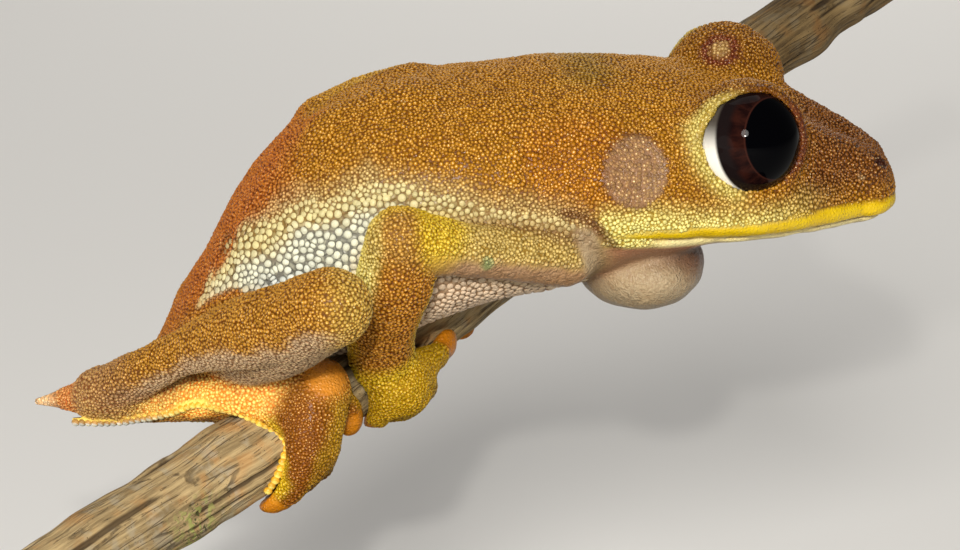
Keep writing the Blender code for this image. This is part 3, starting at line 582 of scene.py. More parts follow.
def net_mesh(values, low, step):
    """Vertices and quads of the surface where the sampled field is zero."""
    inside = values < 0
    cells = np.array(values.shape) - 1
    total = np.zeros(tuple(cells) + (3,))
    hits = np.zeros(tuple(cells))
    for axis in range(3):
        ahead = [slice(None)] * 3
        behind = [slice(None)] * 3
        ahead[axis] = slice(1, None)
        behind[axis] = slice(None, -1)
        first, second = values[tuple(behind)], values[tuple(ahead)]
        crossing = inside[tuple(behind)] != inside[tuple(ahead)]
        share = np.where(crossing, first / np.where(crossing, first - second, 1), 0)
        others = [other for other in range(3) if other != axis]
        for i, j in np.ndindex(2, 2):
            part = [slice(None)] * 3
            part[others[0]] = slice(i, i + cells[others[0]])
            part[others[1]] = slice(j, j + cells[others[1]])
            hit = crossing[tuple(part)]
            total[..., axis] += np.where(hit, share[tuple(part)], 0)
            total[..., others[0]] += hit * i
            total[..., others[1]] += hit * j
            hits += hit
    used = np.argwhere(hits > 0)
    numbers = np.full(tuple(cells), -1)
    numbers[tuple(used.T)] = np.arange(len(used))
    vertices = low + step * (used + total[tuple(used.T)] / hits[tuple(used.T)][:, None])
    quads = []
    for axis in range(3):
        u, v = (axis + 1) % 3, (axis + 2) % 3
        unit_u, unit_v, unit = np.eye(3, dtype=int)[[u, v, axis]]
        behind = [slice(1, -1)] * 3
        ahead = [slice(1, -1)] * 3
        behind[axis] = slice(None, -1)
        ahead[axis] = slice(1, None)
        crossing = inside[tuple(behind)] != inside[tuple(ahead)]
        places = np.argwhere(crossing) + 1 - unit
        leaving = inside[tuple(places.T)]
        ring = [places - unit_u - unit_v, places - unit_v, places, places - unit_u]
        quad = np.stack([numbers[tuple(corner.T)] for corner in ring], 1)
        quads.append(np.where(leaving[:, None], quad, quad[:, ::-1]))
    return vertices, np.vstack(quads)


def settle(vertices, field, rounds=3):
    """Moves vertices onto the field's surface."""
    reach = 0.02
    for _ in range(rounds):
        value = field(vertices)
        slope = np.stack([(field(vertices + reach * unit) - value) / reach for unit in np.eye(3)], 1)
        step = value / np.maximum((slope ** 2).sum(1), 0.3)
        vertices = vertices - np.clip(step, -0.15, 0.15)[:, None] * slope
    return vertices


def largest_part(vertices, quads):
    """Keeps the largest joined surface."""
    group = np.arange(len(vertices))
    while True:
        lowest = group[quads].min(1)
        before = group.copy()
        for corner in range(4):
            np.minimum.at(group, quads[:, corner], lowest)
        group = group[group]
        if (group == before).all():
            break
    names, counts = np.unique(group[quads[:, 0]], return_counts=True)
    quads = quads[group[quads[:, 0]] == names[counts.argmax()]]
    used, renumbered = np.unique(quads, return_inverse=True)
    return vertices[used], renumbered.reshape(-1, 4)


def srgb(red, green, blue):
    """A colour given as it looks on a screen, 0 to 255, as linear light."""
    values = np.array([red, green, blue]) / 255
    return np.where(values <= 0.04045, values / 12.92, ((values + 0.055) / 1.055) ** 2.4)


# Colours: top of a granule or cell, then the groove between two
TINTS = {name: (srgb(*colours[:3]), srgb(*colours[3:])) for name, colours in {
    "back": (182, 125, 17, 113, 65, 2), "rear": (186, 96, 17, 120, 50, 4),
    "shoulder": (184, 108, 7, 118, 57, 0), "nape": (121, 113, 31, 55, 50, 3),
    "snout": (133, 77, 9, 66, 32, 2), "cheek": (239, 234, 146, 175, 151, 50),
    "lid": (154, 101, 6, 95, 52, 0), "flank_gold": (206, 193, 138, 132, 103, 52),
    "flank": (214, 214, 191, 114, 113, 103), "flank_blue": (188, 198, 206, 56, 64, 76),
    "belly": (219, 193, 163, 154, 123, 92), "arm": (202, 174, 98, 147, 115, 43),
    "arm_under": (170, 136, 102, 150, 114, 82), "forearm": (188, 127, 29, 108, 56, 0),
    # The yellow edge colour is the limbs' real pale edges, and also a painted highlight on the feet.
    "yellow_edge_and_highlight": (224, 192, 29, 170, 128, 4), "hand": (193, 155, 6, 151, 108, 1),
    "leg": (184, 129, 31, 110, 62, 0), "leg_pale": (180, 153, 118, 136, 101, 68),
    "knee": (200, 163, 72, 129, 88, 18), "heel": (166, 123, 73, 118, 78, 46),
    "tarsus": (252, 216, 113, 252, 142, 40), "fringe": (246, 222, 110, 222, 168, 48),
    "foot": (153, 90, 6, 94, 45, 0), "disc": (206, 130, 20, 170, 98, 8),
    "sac": (170, 151, 120, 142, 118, 89), "lip": (213, 182, 10, 197, 158, 5),
    "jaw": (232, 218, 160, 202, 182, 118), "ear": (188, 150, 101, 134, 99, 67),
    # The throat colour is painted shade under the jaw.
    "spur": (250, 224, 186, 238, 190, 136), "throat": (150, 106, 78, 118, 78, 56),
    # The sac's shadow colour is painted shade.
    "sac_painted_shadow": (104, 66, 50, 78, 46, 35), "lid_ring": (112, 40, 24, 84, 26, 14),
    "lid_pale": (196, 164, 104, 150, 110, 56), "eye_rim": (214, 196, 110, 160, 136, 52),
    # The fold colour is painted shade in folds, and also the colour of real dark lines on hip, nape and
    # eardrum.
    "fold_shade_and_dark_line": (112, 66, 22, 84, 44, 12), "spot": (232, 214, 170, 210, 186, 130),
    "grey_spot": (140, 146, 96, 110, 116, 70), "web": (222, 146, 48, 202, 122, 30),
    "orange": (240, 150, 70, 214, 108, 36), "hip": (204, 158, 44, 140, 94, 12),
    # The nostril colour is painted shade in the nostril pits.
    "nostril": (66, 26, 12, 50, 18, 8)}.items()}


class Paint:
    """Colours of granule tops and grooves at each vertex, laid on layer by layer."""

    def __init__(self, count, tint):
        self.top = np.tile(TINTS[tint][0], (count, 1))
        self.groove = np.tile(TINTS[tint][1], (count, 1))

    def lay(self, tint, mask):
        """Covers the layers below by the mask's share."""
        share = np.clip(mask, 0, 1)[:, None]
        self.top = self.top * (1 - share) + TINTS[tint][0] * share
        self.groove = self.groove * (1 - share) + TINTS[tint][1] * share


def frill_tube(route):
    """A thin roll along a route."""
    return np.column_stack([route, np.full(len(route), FRILL_RADIUS)])


def frill_path(stations, way, start, end, steps):
    """A frilled edge along part of a limb's route, set out to one side of it."""
    route = smooth_path(stations, steps)
    route = route[int(start * len(route)):int(end * len(route))]
    return frill_tube(route[:, :3] + np.asarray(way) * route[:, 3:] * FRILL_OUT), way


def near_frill(edge):
    """The field of one frilled edge."""
    middle = edge[:, :3]
    return near_only(lambda points: tube(points, edge), middle.min(0) - 0.4, middle.max(0) + 0.4, 1.0)


FRILL_EDGES = [
    (frill_tube(smooth_path(FRINGE_R, 8)), FRINGE_WAY),
    frill_path(LIMBS["right"]["forearm"], BEHIND, 0.45, 1.0, 12),
    frill_path(LIMBS["left"]["tarsus"], TARSUS_L_WAY, 0.03, 1.0, 14),
    frill_path(digit_path(DIGITS["left"]["foot"][0]), BEHIND, 0.1, 0.85, 4),
    frill_path(LIMBS["left"]["forearm"], BEHIND, 0.45, 1.0, 12)]
FRILLS = [near_frill(edge) for edge, _ in FRILL_EDGES]
WEB = near_only(*segment(WEB_R))


def frills(points):
    """Distance to the nearest frilled edge."""
    return np.minimum.reduce([frill(points) for frill in FRILLS])


def lid_roll(local):
    """Distance to the soft roll of skin round each eye."""
    mirrored = mirror(local) - EYE_PLACE
    axis = normed(np.array(EYE_AXIS))
    out = mirrored @ axis
    across = np.linalg.norm(mirrored - out[:, None] * axis, axis=1)
    ring = math.sqrt(EYE_BALL ** 2 - LID_EDGE ** 2) + 0.12
    return np.hypot(across - ring, out - LID_EDGE) - LID_ROLL


def skin_field(points):
    """The frog's unbroken skin, clear of the eyeballs and resting on the bark."""
    result = whole(flesh_fields(points))
    local = in_head(points)
    result = smooth_union(result, lid_roll(local), 0.4)
    result = smooth_union(result, WEB(points), 0.8)
    result = smooth_union(result, frills(points), 0.35)
    result = result + 0.22 * bump(apart(points, RUMP_FOLD) - 0.62, 0.22)
    result = result + 0.3 * bump(apart(mirror(local), NOSTRIL_PIT), 0.4)
    result = result + 0.3 * bump(tube(mirror(points), NECK_FOLD), 0.35)
    above = local[:, 2] - mouth_height(local[:, 0])
    result = result + MOUTH_GROOVE * bump(above, 0.15) * ramp(local[:, 0], -10.5, -7.5)
    tip = local @ np.array(SNOUT_SLOPE) - SNOUT_REACH
    result = -smooth_union(-result, -tip, 0.6)
    lump = noise(points, 1.5, 3) * 0.07 + noise(points, 0.75, 4) * 0.04
    result = result + lump
    for name, sign in (("right", 1), ("left", -1)):
        wrist = np.array(LIMBS[name]["forearm"][-1][:3])
        result = result + wrinkles(points, wrist, (0.1, 0.3 * sign, -1), 1.6, 0.9, 0.13)
    result = np.maximum(result, BARK_CLEARANCE - branch(points))
    return np.maximum(result, -sockets(points))


def zone_weights(fields, x):
    """How much each piece of flesh owns each point, parted at the neck; the weights add up to 1."""
    stack = np.stack(list(fields.values()), 1)
    share = np.exp(-(stack - stack.min(1, keepdims=True)) / 0.35)
    share /= share.sum(1, keepdims=True)
    weight = dict(zip(fields, share.T))
    both = weight["torso"] + weight["head"]
    ahead = ramp(x, NECK - 0.8, NECK + 0.8)
    weight["head"] = both * ahead
    weight["torso"] = both * (1 - ahead)
    return weight


class Zones:
    """Colours and patterns of the skin at each vertex."""

    def __init__(self, points, normals):
        self.points = points
        self.normals = normals
        self.fields = flesh_fields(points)
        self.weight = zone_weights(self.fields, points[:, 0])
        self.drift = noise(points, 2.2, 11)
        self.fine = noise(points, 0.8, 12)
        self.paint = Paint(len(points), "back")
        self.under = -normals[:, 2]
        self.nothing = np.zeros(len(points))
        self.soles = self.nothing
        self.chests = self.nothing
        self.lay_trunk()
        self.lay_head()
        self.lay_folds()
        for side, sign in (("right", -1), ("left", 1)):
            self.lay_arm(side, sign)
            self.lay_leg(side)
            self.lay_discs(side)
        self.lay_trims()

    def lay_trunk(self):
        """Back, flank, belly and hips."""
        x, y, z = self.points.T
        drift, lay, share = self.drift, self.paint.lay, self.weight["torso"]
        lay("rear", ramp(-x + 2.0 * drift, 8.5, 13.5) * ramp(z, -15, -5) * 0.75)
        near_shoulder = np.hypot(x - 8.0, (z - 4.0) / 1.2)
        lay("shoulder", fade(near_shoulder + drift, 2.5, 4.5) * ramp(np.abs(y), 4, 7) * 0.4)
        lay("nape", bump(x - 9.5, 2.2) * ramp(z, 8.6, 9.6) * 0.4)
        below = np.interp(x, *np.transpose(FLANK_BORDER)) + 0.3 * drift + 0.3 * self.fine - z
        turned = np.maximum(ramp(np.abs(self.normals[:, 1]) + 0.1 * drift, 0.34, 0.52), ramp(x, -12.0, -8.0))
        flank = ramp(below, -0.3, 0.5) * share * turned
        lay("flank_gold", ramp(below + 0.6 * drift, -2.2, 0.2) * share * turned * 0.55)
        lay("flank_gold", flank)
        lay("flank", flank * ramp(below + 0.5 * drift, 1.2, 3.0))
        lay("flank_blue", flank * ramp(below + 0.8 * drift, 3.0, 5.5) * ramp(-x, 8.5, 12))
        belly = flank * ramp(x, -7.0, -3.0) * ramp(-z + 0.3 * drift, 0.2, 1.6)
        belly = np.maximum(belly, share * ramp(self.under, 0.55, 0.9))
        lay("belly", belly)
        self.cell = np.maximum(flank, belly)
        self.small = (below < 0.9 + 0.3 * drift) | ((x > -3.0) & (z > -1.0))
        hip = y - np.interp(x, *np.transpose(HIP_LINE))
        on_hip = bump(x + 5.8, 3.4) * ramp(z, 5.5, 7.0)
        lay("hip", on_hip * ramp(hip, -0.1, 0.3) * 0.8)
        lay("fold_shade_and_dark_line", on_hip * bump(hip, 0.22) * 0.6)

    def lay_head(self):
        """Snout, lids, cheeks, lips, eardrums, nostrils and throat sac, with painted shade under the jaw, on
        the sac's upper side and in the nostril pits.
        """
        lay, head = self.paint.lay, self.weight["head"]
        local = in_head(self.points)
        mirrored = mirror(local)
        hx, hy, hz = mirrored.T
        lay("snout", head * ramp(hx, 1.5, 5.5) * ramp(hz, -6.0, -3.0))
        eye_gap = apart(mirrored, EYE_PLACE)
        lay("lid", head * bump(eye_gap - 4.0, 1.0) * ramp(hz, 1.0, 3.0))
        lay("cheek", head * ramp(-hz + 0.5 * self.drift, 2.9, 5.2) * ramp(-hx, -7.5, 1.0) * 0.9)
        roll = lid_roll(local)
        lay("eye_rim", head * bump(eye_gap - 4.1, 0.8) * ramp(-hx - 0.3 * hz, 0.3, 2.5) * ramp(hy, 6.0, 7.2))
        lay("eye_rim", head * fade(roll, 0.0, 0.2) * ramp(-hx - 0.5 * hz, -2.0, 1.0) * 0.8)
        lid_mark = apart(mirrored, LID_SPOT)
        lay("lid_pale", head * fade(lid_mark, 0.5, 0.9) * 0.8)
        lay("lid_ring", head * bump(lid_mark - 1.1, 0.36) * 0.9)
        above = hz - mouth_height(hx)
        jaws = ramp(hx, -10.5, -7.5) * ramp(head, 0.3, 0.6)
        stripe_top = np.interp(hx, *np.transpose(STRIPE_TOP))
        stripe = ramp(above, -0.1, 0.05) * fade(above - stripe_top + 0.12 * self.fine, -0.15, 0.15) * jaws
        jaw = fade(above, -0.05, 0.05) * ramp(head + self.weight["throat_sac"], 0.4, 0.7)
        rim = jaw * ramp(hx, -8.0, -5.5)
        # Painted shade: below the lip's rim the jaw's underside takes a dull brown, as if in the jaw's
        # shadow.
        throat = jaw * ramp(-above, 0.5, 0.9)
        lay("jaw", rim)
        lay("throat", throat)
        jaw = np.maximum(rim, throat)
        ear = np.hypot(hx - TYMPANUM[0] + 0.3, hz - TYMPANUM[2]) - TYMPANUM_RADIUS
        eardrum = fade(ear, -0.15, 0.1) * head * ramp(hy, 5, 6)
        lay("ear", eardrum * 0.85)
        lay("fold_shade_and_dark_line", bump(ear - 0.05, 0.25) * head * ramp(hy, 5, 6) * 0.3)
        lay("lip", stripe)
        self.sac = self.weight["throat_sac"]
        lay("sac", self.sac)
        # Painted shadow: the sac darkens towards the jaw on its upper side.
        to_jaw = (self.points - SAC[0]) @ (0.6, 0, 1)
        lay("sac_painted_shadow", self.sac * ramp(to_jaw + 0.6 * self.drift, 0.4, 3.0) * 0.85)
        # Painted shade: the nostril pits are dark brown inside.
        nostril = fade(apart(mirrored, NOSTRIL_PIT), 0.35, 0.65)
        lay("nostril", nostril)
        lay("lid_ring", head * fade(roll, 0.05, 0.3) * ramp(hx - 0.3 * hz, 0.6, 2.2) * 0.6)
        lay("spot", fade(apart(local, LIP_SPOT), 0.08, 0.2) * 0.6)
        self.above = above
        self.jaws = jaws
        self.plain = np.maximum.reduce([stripe, jaw * 0.9, self.sac])
        self.smooth = [stripe, jaw, self.sac, eardrum, head * fade(roll, 0.05, 0.15), nostril]

    def lay_folds(self):
        """Painted shade in the rump's fold, and the dark line along the nape."""
        x, y, z = self.points.T
        # Painted shade in the groove of the rump's fold.
        self.paint.lay("fold_shade_and_dark_line", bump(apart(self.points, RUMP_FOLD) - 0.62, 0.25) * 0.8)
        nape_line = np.abs((x - 10.2) * 0.707 + (y - 0.3) * 0.707)
        self.paint.lay("fold_shade_and_dark_line", fade(nape_line, 0.08, 0.22) * bump(x - 11.8, 1.9) * ramp(z, 8.5, 9.2) * 0.6)

    def lay_arm(self, side, sign):
        """Upper arm, chest beside it, forearm and hand."""
        x, _, z = self.points.T
        lay, drift, under, torso = self.paint.lay, self.drift, self.under, self.weight["torso"]
        upper, fore, hand = (self.weight[part + side] for part in ("upper_arm_", "forearm_", "hand_"))
        outer = self.normals[:, 1] * sign
        lay("arm", upper)
        lay("arm_under", upper * ramp(under, 0.0, 0.5))
        # Painted shade where the upper arm tucks against the trunk.
        tucked = bump(self.fields["upper_arm_" + side] - self.fields["torso"], 0.5) * (upper + torso)
        lay("fold_shade_and_dark_line", tucked * ramp(x, -1.0, 1.5) * 0.6)
        chest = (upper + torso) * ramp(x + 0.3 * z, 7.3, 8.0) * ramp(-z + 0.3 * drift, -0.6, 0.2)
        chest = chest * ramp(outer, -0.3, 0.2)
        lay("sac", chest)
        beneath = upper * ramp(under + 0.1 * self.fine, 0.0, 0.5)
        self.chests = np.maximum.reduce([self.chests, chest, beneath])
        lay("forearm", fore)
        lay("yellow_edge_and_highlight", fore * ramp(-outer, -0.55, -0.1))
        lay("cheek", fore * ramp(-self.normals[:, 0], 0.35, 0.8) * ramp(z, -5.0, -2.0) * 0.75)
        elbow = joint(side, "forearm")
        near_elbow = fade(apart(self.points, elbow + (2.0, 0, 0.5)), 1.6, 3.4)
        lay("yellow_edge_and_highlight", (fore + upper) * near_elbow * ramp(x - elbow[0], 0.2, 1.6) * 0.8)
        lay("hand", hand)
        lay("yellow_edge_and_highlight", fore * fade(self.fields["hand_" + side], 0.2, 2.2))
        self.cell = np.maximum(self.cell, 0.35 * upper * ramp(under, 0.0, 0.5))

    def lay_leg(self, side):
        """Thigh and shank, tarsus with its spur, and foot."""
        lay, drift, points = self.paint.lay, self.drift, self.points
        tarsus, foot = self.weight["tarsus_" + side], self.weight["foot_" + side]
        leg = self.weight["thigh_" + side] + self.weight["shank_" + side]
        lay("leg", leg)
        lay("leg_pale", leg * ramp(self.under + 0.25 * drift, 0.25, 0.65))
        knee = joint(side, "shank")
        near_knee = fade(apart(points, knee) + drift, 2.6, 5.0)
        lay("knee", leg * near_knee * ramp(points[:, 0] - knee[0], -1.5, 1.5))
        lay("tarsus", tarsus)
        lay("foot", tarsus * ramp(self.under, 0.45, 0.85) * 0.8)
        from_heel = apart(points, joint(side, "tarsus"))
        lay("heel", (tarsus + leg) * fade(from_heel + 1.5 * drift, 3.0, 7.0) * 0.85)
        from_tip = apart(points, spur_end(side))
        lay("orange", bump(from_tip - 2.8, 1.0) * 0.5)
        lay("spur", fade(from_tip, 0.9, 2.2))
        lay("foot", foot)
        lay("yellow_edge_and_highlight", (foot + 0.15 * tarsus) * fade(frills(points) + 0.3 * self.fine, 0.3, 1.5))
        # Painted highlight: the feet's forward-facing side is lightened with the yellow edge colour.
        lay("yellow_edge_and_highlight", foot * ramp(self.normals[:, 0] + 0.2 * drift, 0.2, 0.8) * 0.4)

    def lay_discs(self, side):
        """The discs of fingers and toes."""
        discs = self.nothing
        hand, foot = self.weight["hand_" + side], self.weight["foot_" + side]
        for name, share in (("hand", hand), ("foot", foot)):
            for stations in DIGITS[side][name]:
                along, angle, height, size = stations[-1]
                reach = apart(self.points, on_branch(along, angle, height))
                discs = np.maximum(discs, share * fade(reach, size, size * 1.5))
        self.paint.lay("disc", discs)
        self.smooth.append(discs)
        self.plain = np.maximum.reduce([self.plain, 0.4 * hand + 0.4 * foot, discs * 0.8])
        self.soles = np.maximum(self.soles, self.weight["tarsus_" + side] + hand + foot)

    def lay_trims(self):
        """Painted shade in the neck folds, the spot on the arm, the web of the instep, the frilled edges and
        the spur's tip.
        """
        lay, points, fine = self.paint.lay, self.points, self.fine
        # Painted shade in the grooves of the neck folds.
        lay("fold_shade_and_dark_line", fade(tube(mirror(points), NECK_FOLD), 0.15, 0.45) * 0.85)
        lay("grey_spot", fade(apart(points, ARM_SPOT) + 0.2 * fine, 0.3, 0.6))
        instep = fade(apart(points, INSTEP_R) + 0.3 * self.drift, 0.9, 2.3)
        instep = instep * (self.weight["tarsus_right"] + self.weight["foot_right"])
        lay("web", instep)
        frill = fade(frills(points), 0.0, 0.15)
        lay("fringe", frill * 0.8)
        self.plain = np.maximum.reduce([self.plain, instep * 0.8, self.chests, frill])
        self.smooth += [self.chests, instep, frill, fade(apart(points, spur_end("right")), 1.6, 2.2)]

    def coat(self):
        """The number of the coat that grows at each vertex."""
        cells = self.cell > 0.5
        order = {"bare": np.maximum.reduce(self.smooth) > 0.4, "small": cells & self.small, "cells": cells,
                 "soles": self.soles > 0.5, "head": self.weight["head"] > 0.5,
                 "back": self.weight["torso"] > 0.5, "right": self.points[:, 1] < 0}
        return np.select(list(order.values()), [COATS[name] for name in order], COATS["left"])

    def layers(self):
        """What the materials read, by name."""
        return {"granule_tint": self.paint.top, "groove_tint": self.paint.groove,
                "coat": self.coat().astype(float), "cell": self.cell, "plain": self.plain,
                "folds": np.maximum(self.sac, self.chests),
                "mouth": np.where(self.jaws > 0.3, np.abs(self.above), 9.0)}


def closed_mesh(name, field, low, high, step):
    """A closed mesh of a field's surface, in metres in the row's frame, with its field points."""
    low, high = low - BOX_MARGIN, high + BOX_MARGIN
    values = fill_corners(field_grid(field, low, high, step), step)
    vertices, quads = net_mesh(values, low, step)
    vertices, quads = largest_part(settle(vertices, field), quads)
    return plain_mesh(name, vertices, quads), vertices


def plain_mesh(name, points, faces=()):
    """A smooth mesh in metres from points in the frog's millimetres."""
    mesh = bpy.data.meshes.new(name)
    mesh.from_pydata((points + LIFT) * MM, [], faces)
    mesh.shade_smooth()
    return mesh


def store(mesh, name, values, kind="FLOAT_COLOR"):
    """Keeps a number, a colour or a vector for each vertex."""
    if values.ndim == 1:
        kind = "FLOAT"
    elif kind == "FLOAT_COLOR":
        values = np.concatenate([values, np.ones((len(values), 1))], 1)
    layer = mesh.attributes.new(name, kind, "POINT")
    label = {"FLOAT": "value", "FLOAT_COLOR": "color", "FLOAT_VECTOR": "vector"}[kind]
    layer.data.foreach_set(label, values.astype(np.float32).ravel())


def show(name, mesh, materials, slot):
    """A finished piece that rides on the model's one body."""
    obj = bpy.data.objects.new(name, mesh)
    bpy.context.scene.collection.objects.link(obj)
    mesh.materials.clear()
    for made in materials:
        mesh.materials.append(made)
    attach(obj, "root")
    return obj


class Wiring:
    """Short ways to add and join nodes in a material or a group."""

    def __init__(self, tree):
        self.tree = tree

    def node(self, kind, inputs=None, **settings):
        """Adds a node; inputs are numbers, colours or sockets by name or place."""
        made = self.tree.nodes.new(kind)
        for key, value in settings.items():
            setattr(made, key, value)
        for key, value in (inputs or {}).items():
            self.give(made.inputs[key], value)
        return made

    def give(self, socket, value):
        """Sets a socket, or joins it to another one."""
        if isinstance(value, bpy.types.NodeSocket):
            self.tree.links.new(value, socket)
        else:
            socket.default_value = value

    def result(self, kind, inputs=None, label=0, **settings):
        """Adds a node and gives one of its outputs."""
        return self.node(kind, inputs, **settings).outputs[label]

    def math(self, operation, first, second=0.0, clamp=False):
        """One step of arithmetic."""
        return self.result("ShaderNodeMath", {0: first, 1: second}, operation=operation, use_clamp=clamp)

    def times(self, first, second):
        """Multiplies two values."""
        return self.math("MULTIPLY", first, second)

    def mix(self, share, first, second, blend="MIX"):
        """Mixes two colours."""
        made = self.node("ShaderNodeMix", {0: share}, data_type="RGBA", blend_type=blend)
        for key, value in ((6, first), (7, second)):
            self.give(made.inputs[key], (value, value, value, 1) if isinstance(value, float) else value)
        return made.outputs[2]

    def dim(self, tint, by):
        """Multiplies a colour by another colour or a value."""
        return self.mix(1.0, tint, by, "MULTIPLY")

    def spread(self, value, low=0, high=1, first=0.0, second=1.0):
        """Maps low..high smoothly to first..second."""
        return self.result("ShaderNodeMapRange", {0: value, 1: low, 2: high, 3: first, 4: second},
                           interpolation_type="SMOOTHSTEP")

    def attribute(self, name, output="Fac"):
        """Reads one of the mesh's own attributes."""
        return self.result("ShaderNodeAttribute", label=output, attribute_name=name)

    def place(self):
        """The object's own coordinates."""
        return self.result("ShaderNodeTexCoord", label="Object")

    def noise(self, place, scale, detail, more=None, **settings):
        """A noise pattern."""
        inputs = {"Vector": place, "Scale": scale, "Detail": detail, **(more or {})}
        return self.result("ShaderNodeTexNoise", inputs, "Fac", **settings)


class Finish(Wiring):
    """A material: nodes that feed its one shader."""

    def __init__(self, name, numbers):
        self.material = bpy.data.materials.new(name)
        self.material.use_nodes = True
        super().__init__(self.material.node_tree)
        self.shader = self.tree.nodes["Principled BSDF"]
        for label, value in numbers.items():
            self.feed(label, value)

    def feed(self, label, value):
        """Gives the shader a number, or a colour or value that changes over the surface."""
        self.give(self.shader.inputs[label], value)

    def relief(self, height, distance, strength=1.0):
        """Raises the surface by a height."""
        self.feed("Normal", self.result("ShaderNodeBump", {"Strength": strength, "Distance": distance,
                                                           "Height": height}))


def shared_effect(name, inputs, outputs):
    """A shader node group with named sockets for numbers, and its wiring."""
    tree = bpy.data.node_groups.new(name, "ShaderNodeTree")
    for label, value in inputs.items():
        tree.interface.new_socket(label, in_out="INPUT", socket_type="NodeSocketFloat").default_value = value
    for label in outputs:
        tree.interface.new_socket(label, in_out="OUTPUT", socket_type="NodeSocketFloat")
    given = tree.nodes.new("NodeGroupInput").outputs
    return tree, Wiring(tree), given, tree.nodes.new("NodeGroupOutput").inputs


def mottling_group():
    """Mottling shared by skin and stand: slow patches and fine grain, both from 0 to 1."""
    tree, wires, given, out = shared_effect("mottling", {"Patch Size": 0.003, "Grain Size": 0.0004},
                                            ("Patches", "Grain"))
    place = wires.place()
    for size, label, detail in (("Patch Size", "Patches", 3.0), ("Grain Size", "Grain", 2.0)):
        pattern = wires.noise(place, wires.math("DIVIDE", 1.0, given[size]), detail)
        wires.give(out[label], wires.spread(pattern, 0.3, 0.7))
    return tree


def cobble_group():
    """Rounded cobbles parted by grooves: how far up from the groove, the dome, and a chance for each."""
    tree, wires, given, out = shared_effect("cobbles", {"Size": 0.0005, "Groove": 0.2, "Randomness": 0.9},
                                            ("Top", "Dome", "Chance", "Middle", "Round"))
    inputs = {"Vector": wires.place(), "Scale": wires.math("DIVIDE", 1.0, given["Size"]),
              "Randomness": given["Randomness"]}
    centre = wires.node("ShaderNodeTexVoronoi", inputs).outputs
    edge = wires.result("ShaderNodeTexVoronoi", inputs, "Distance", feature="DISTANCE_TO_EDGE")
    top = wires.spread(edge, 0.015, given["Groove"])
    squared = wires.times(centre["Distance"], centre["Distance"])
    dome = wires.math("SUBTRACT", 1.0, wires.times(squared, 1.6), clamp=True)
    for label, value in (("Top", top), ("Dome", wires.times(dome, top)),
                         ("Chance", wires.result("ShaderNodeSeparateColor", {0: centre["Color"]})),
                         ("Middle", wires.spread(centre["Distance"], 0.06, 0.3, 1.0, 0.0)),
                         ("Round", wires.spread(centre["Distance"], 0.25, 0.6, 1.0, 0.0))):
        wires.give(out[label], value)
    return tree


MOTTLING = mottling_group()
COBBLES = cobble_group()


def use_group(wires, group, sizes):
    """Places a shared effect in a material with its own sizes."""
    return wires.node("ShaderNodeGroup", sizes, node_tree=group).outputs


def mottled(wires, patch, grain):
    """The shared mottling: patches and grain."""
    made = use_group(wires, MOTTLING, {"Patch Size": patch, "Grain Size": grain})
    return made["Patches"], made["Grain"]


def skin_material():
    """Granular skin with large polygonal cells on flank and belly, all from the zones' colours, with painted
    glints on granule middles and painted shade along the grooves of crumpled folds.
    """
    wires = Finish("frog_skin", {"Specular IOR Level": 0.3})
    cell = wires.attribute("cell")
    plain = wires.attribute("plain")
    folds = wires.attribute("folds")
    patches, grain = mottled(wires, 0.0035, 0.00016)
    granule = use_group(wires, COBBLES, {"Size": GRANULE_SIZE, "Groove": 0.3, "Randomness": 0.75})
    plate = use_group(wires, COBBLES, {"Size": CELL_SIZE, "Groove": 0.22, "Randomness": 0.9})
    soft = wires.mix(plain, wires.times(granule["Round"], 0.7), 0.8)
    top = wires.mix(cell, soft, wires.times(plate["Top"], 0.35))
    tint = wires.mix(top, wires.attribute("groove_tint", "Color"), wires.attribute("granule_tint", "Color"))
    shade = wires.mix(cell, wires.spread(granule["Chance"], first=0.72, second=1.12),
                      wires.spread(plate["Chance"], first=0.86, second=1.05))
    tint = wires.dim(tint, wires.mix(plain, shade, 1.0))
    tint = wires.mix(wires.spread(patches, second=0.3), tint, wires.dim(tint, (0.82, 0.68, 0.46, 1)))
    bare = wires.math("SUBTRACT", 1.0, wires.math("MAXIMUM", cell, plain), clamp=True)
    # Painted glint: pale gold specks on some granule middles stand in for highlights.
    glint = wires.times(granule["Middle"], wires.spread(granule["Chance"], 0.45))
    tint = wires.mix(wires.times(wires.times(glint, bare), 0.8), tint, (1.0, 0.84, 0.46, 1))
    crumple = wires.noise(wires.place(), 1700.0, 4.0, {"Distortion": 0.8})
    ridge = wires.math("ABSOLUTE", wires.math("SUBTRACT", crumple, 0.5))
    # Painted shade: the crumpled folds of sac and chest are darker along their grooves.
    line = wires.times(wires.spread(ridge, 0.0, 0.05, 0.5, 0.0), folds)
    tint = wires.mix(line, tint, wires.dim(tint, (0.62, 0.5, 0.42, 1)))
    mouth = wires.spread(wires.attribute("mouth"), 0.05, 0.16, 0.75, 0.0)
    wires.feed("Base Color", wires.mix(mouth, tint, (0.16, 0.07, 0.02, 1)))
    wires.feed("Roughness", wires.spread(grain, first=0.28, second=0.44))
    rise = wires.mix(cell, wires.times(granule["Dome"], wires.spread(plain, first=0.8, second=0.3)),
                     wires.times(plate["Dome"], 1.5))
    rise = wires.math("ADD", rise, wires.times(grain, 0.08))
    wires.relief(wires.math("ADD", rise, wires.times(wires.times(ridge, folds), 2.6)), 0.0001)
    return wires.material


GRANULE_INPUTS = (("Geometry", "Geometry", None), ("Width", "Float", 0.0004), ("Height", "Float", 0.0002),
                  ("Segments", "Int", 5), ("Rings", "Int", 3), ("Seed", "Int", 1),
                  ("Material", "Material", None))


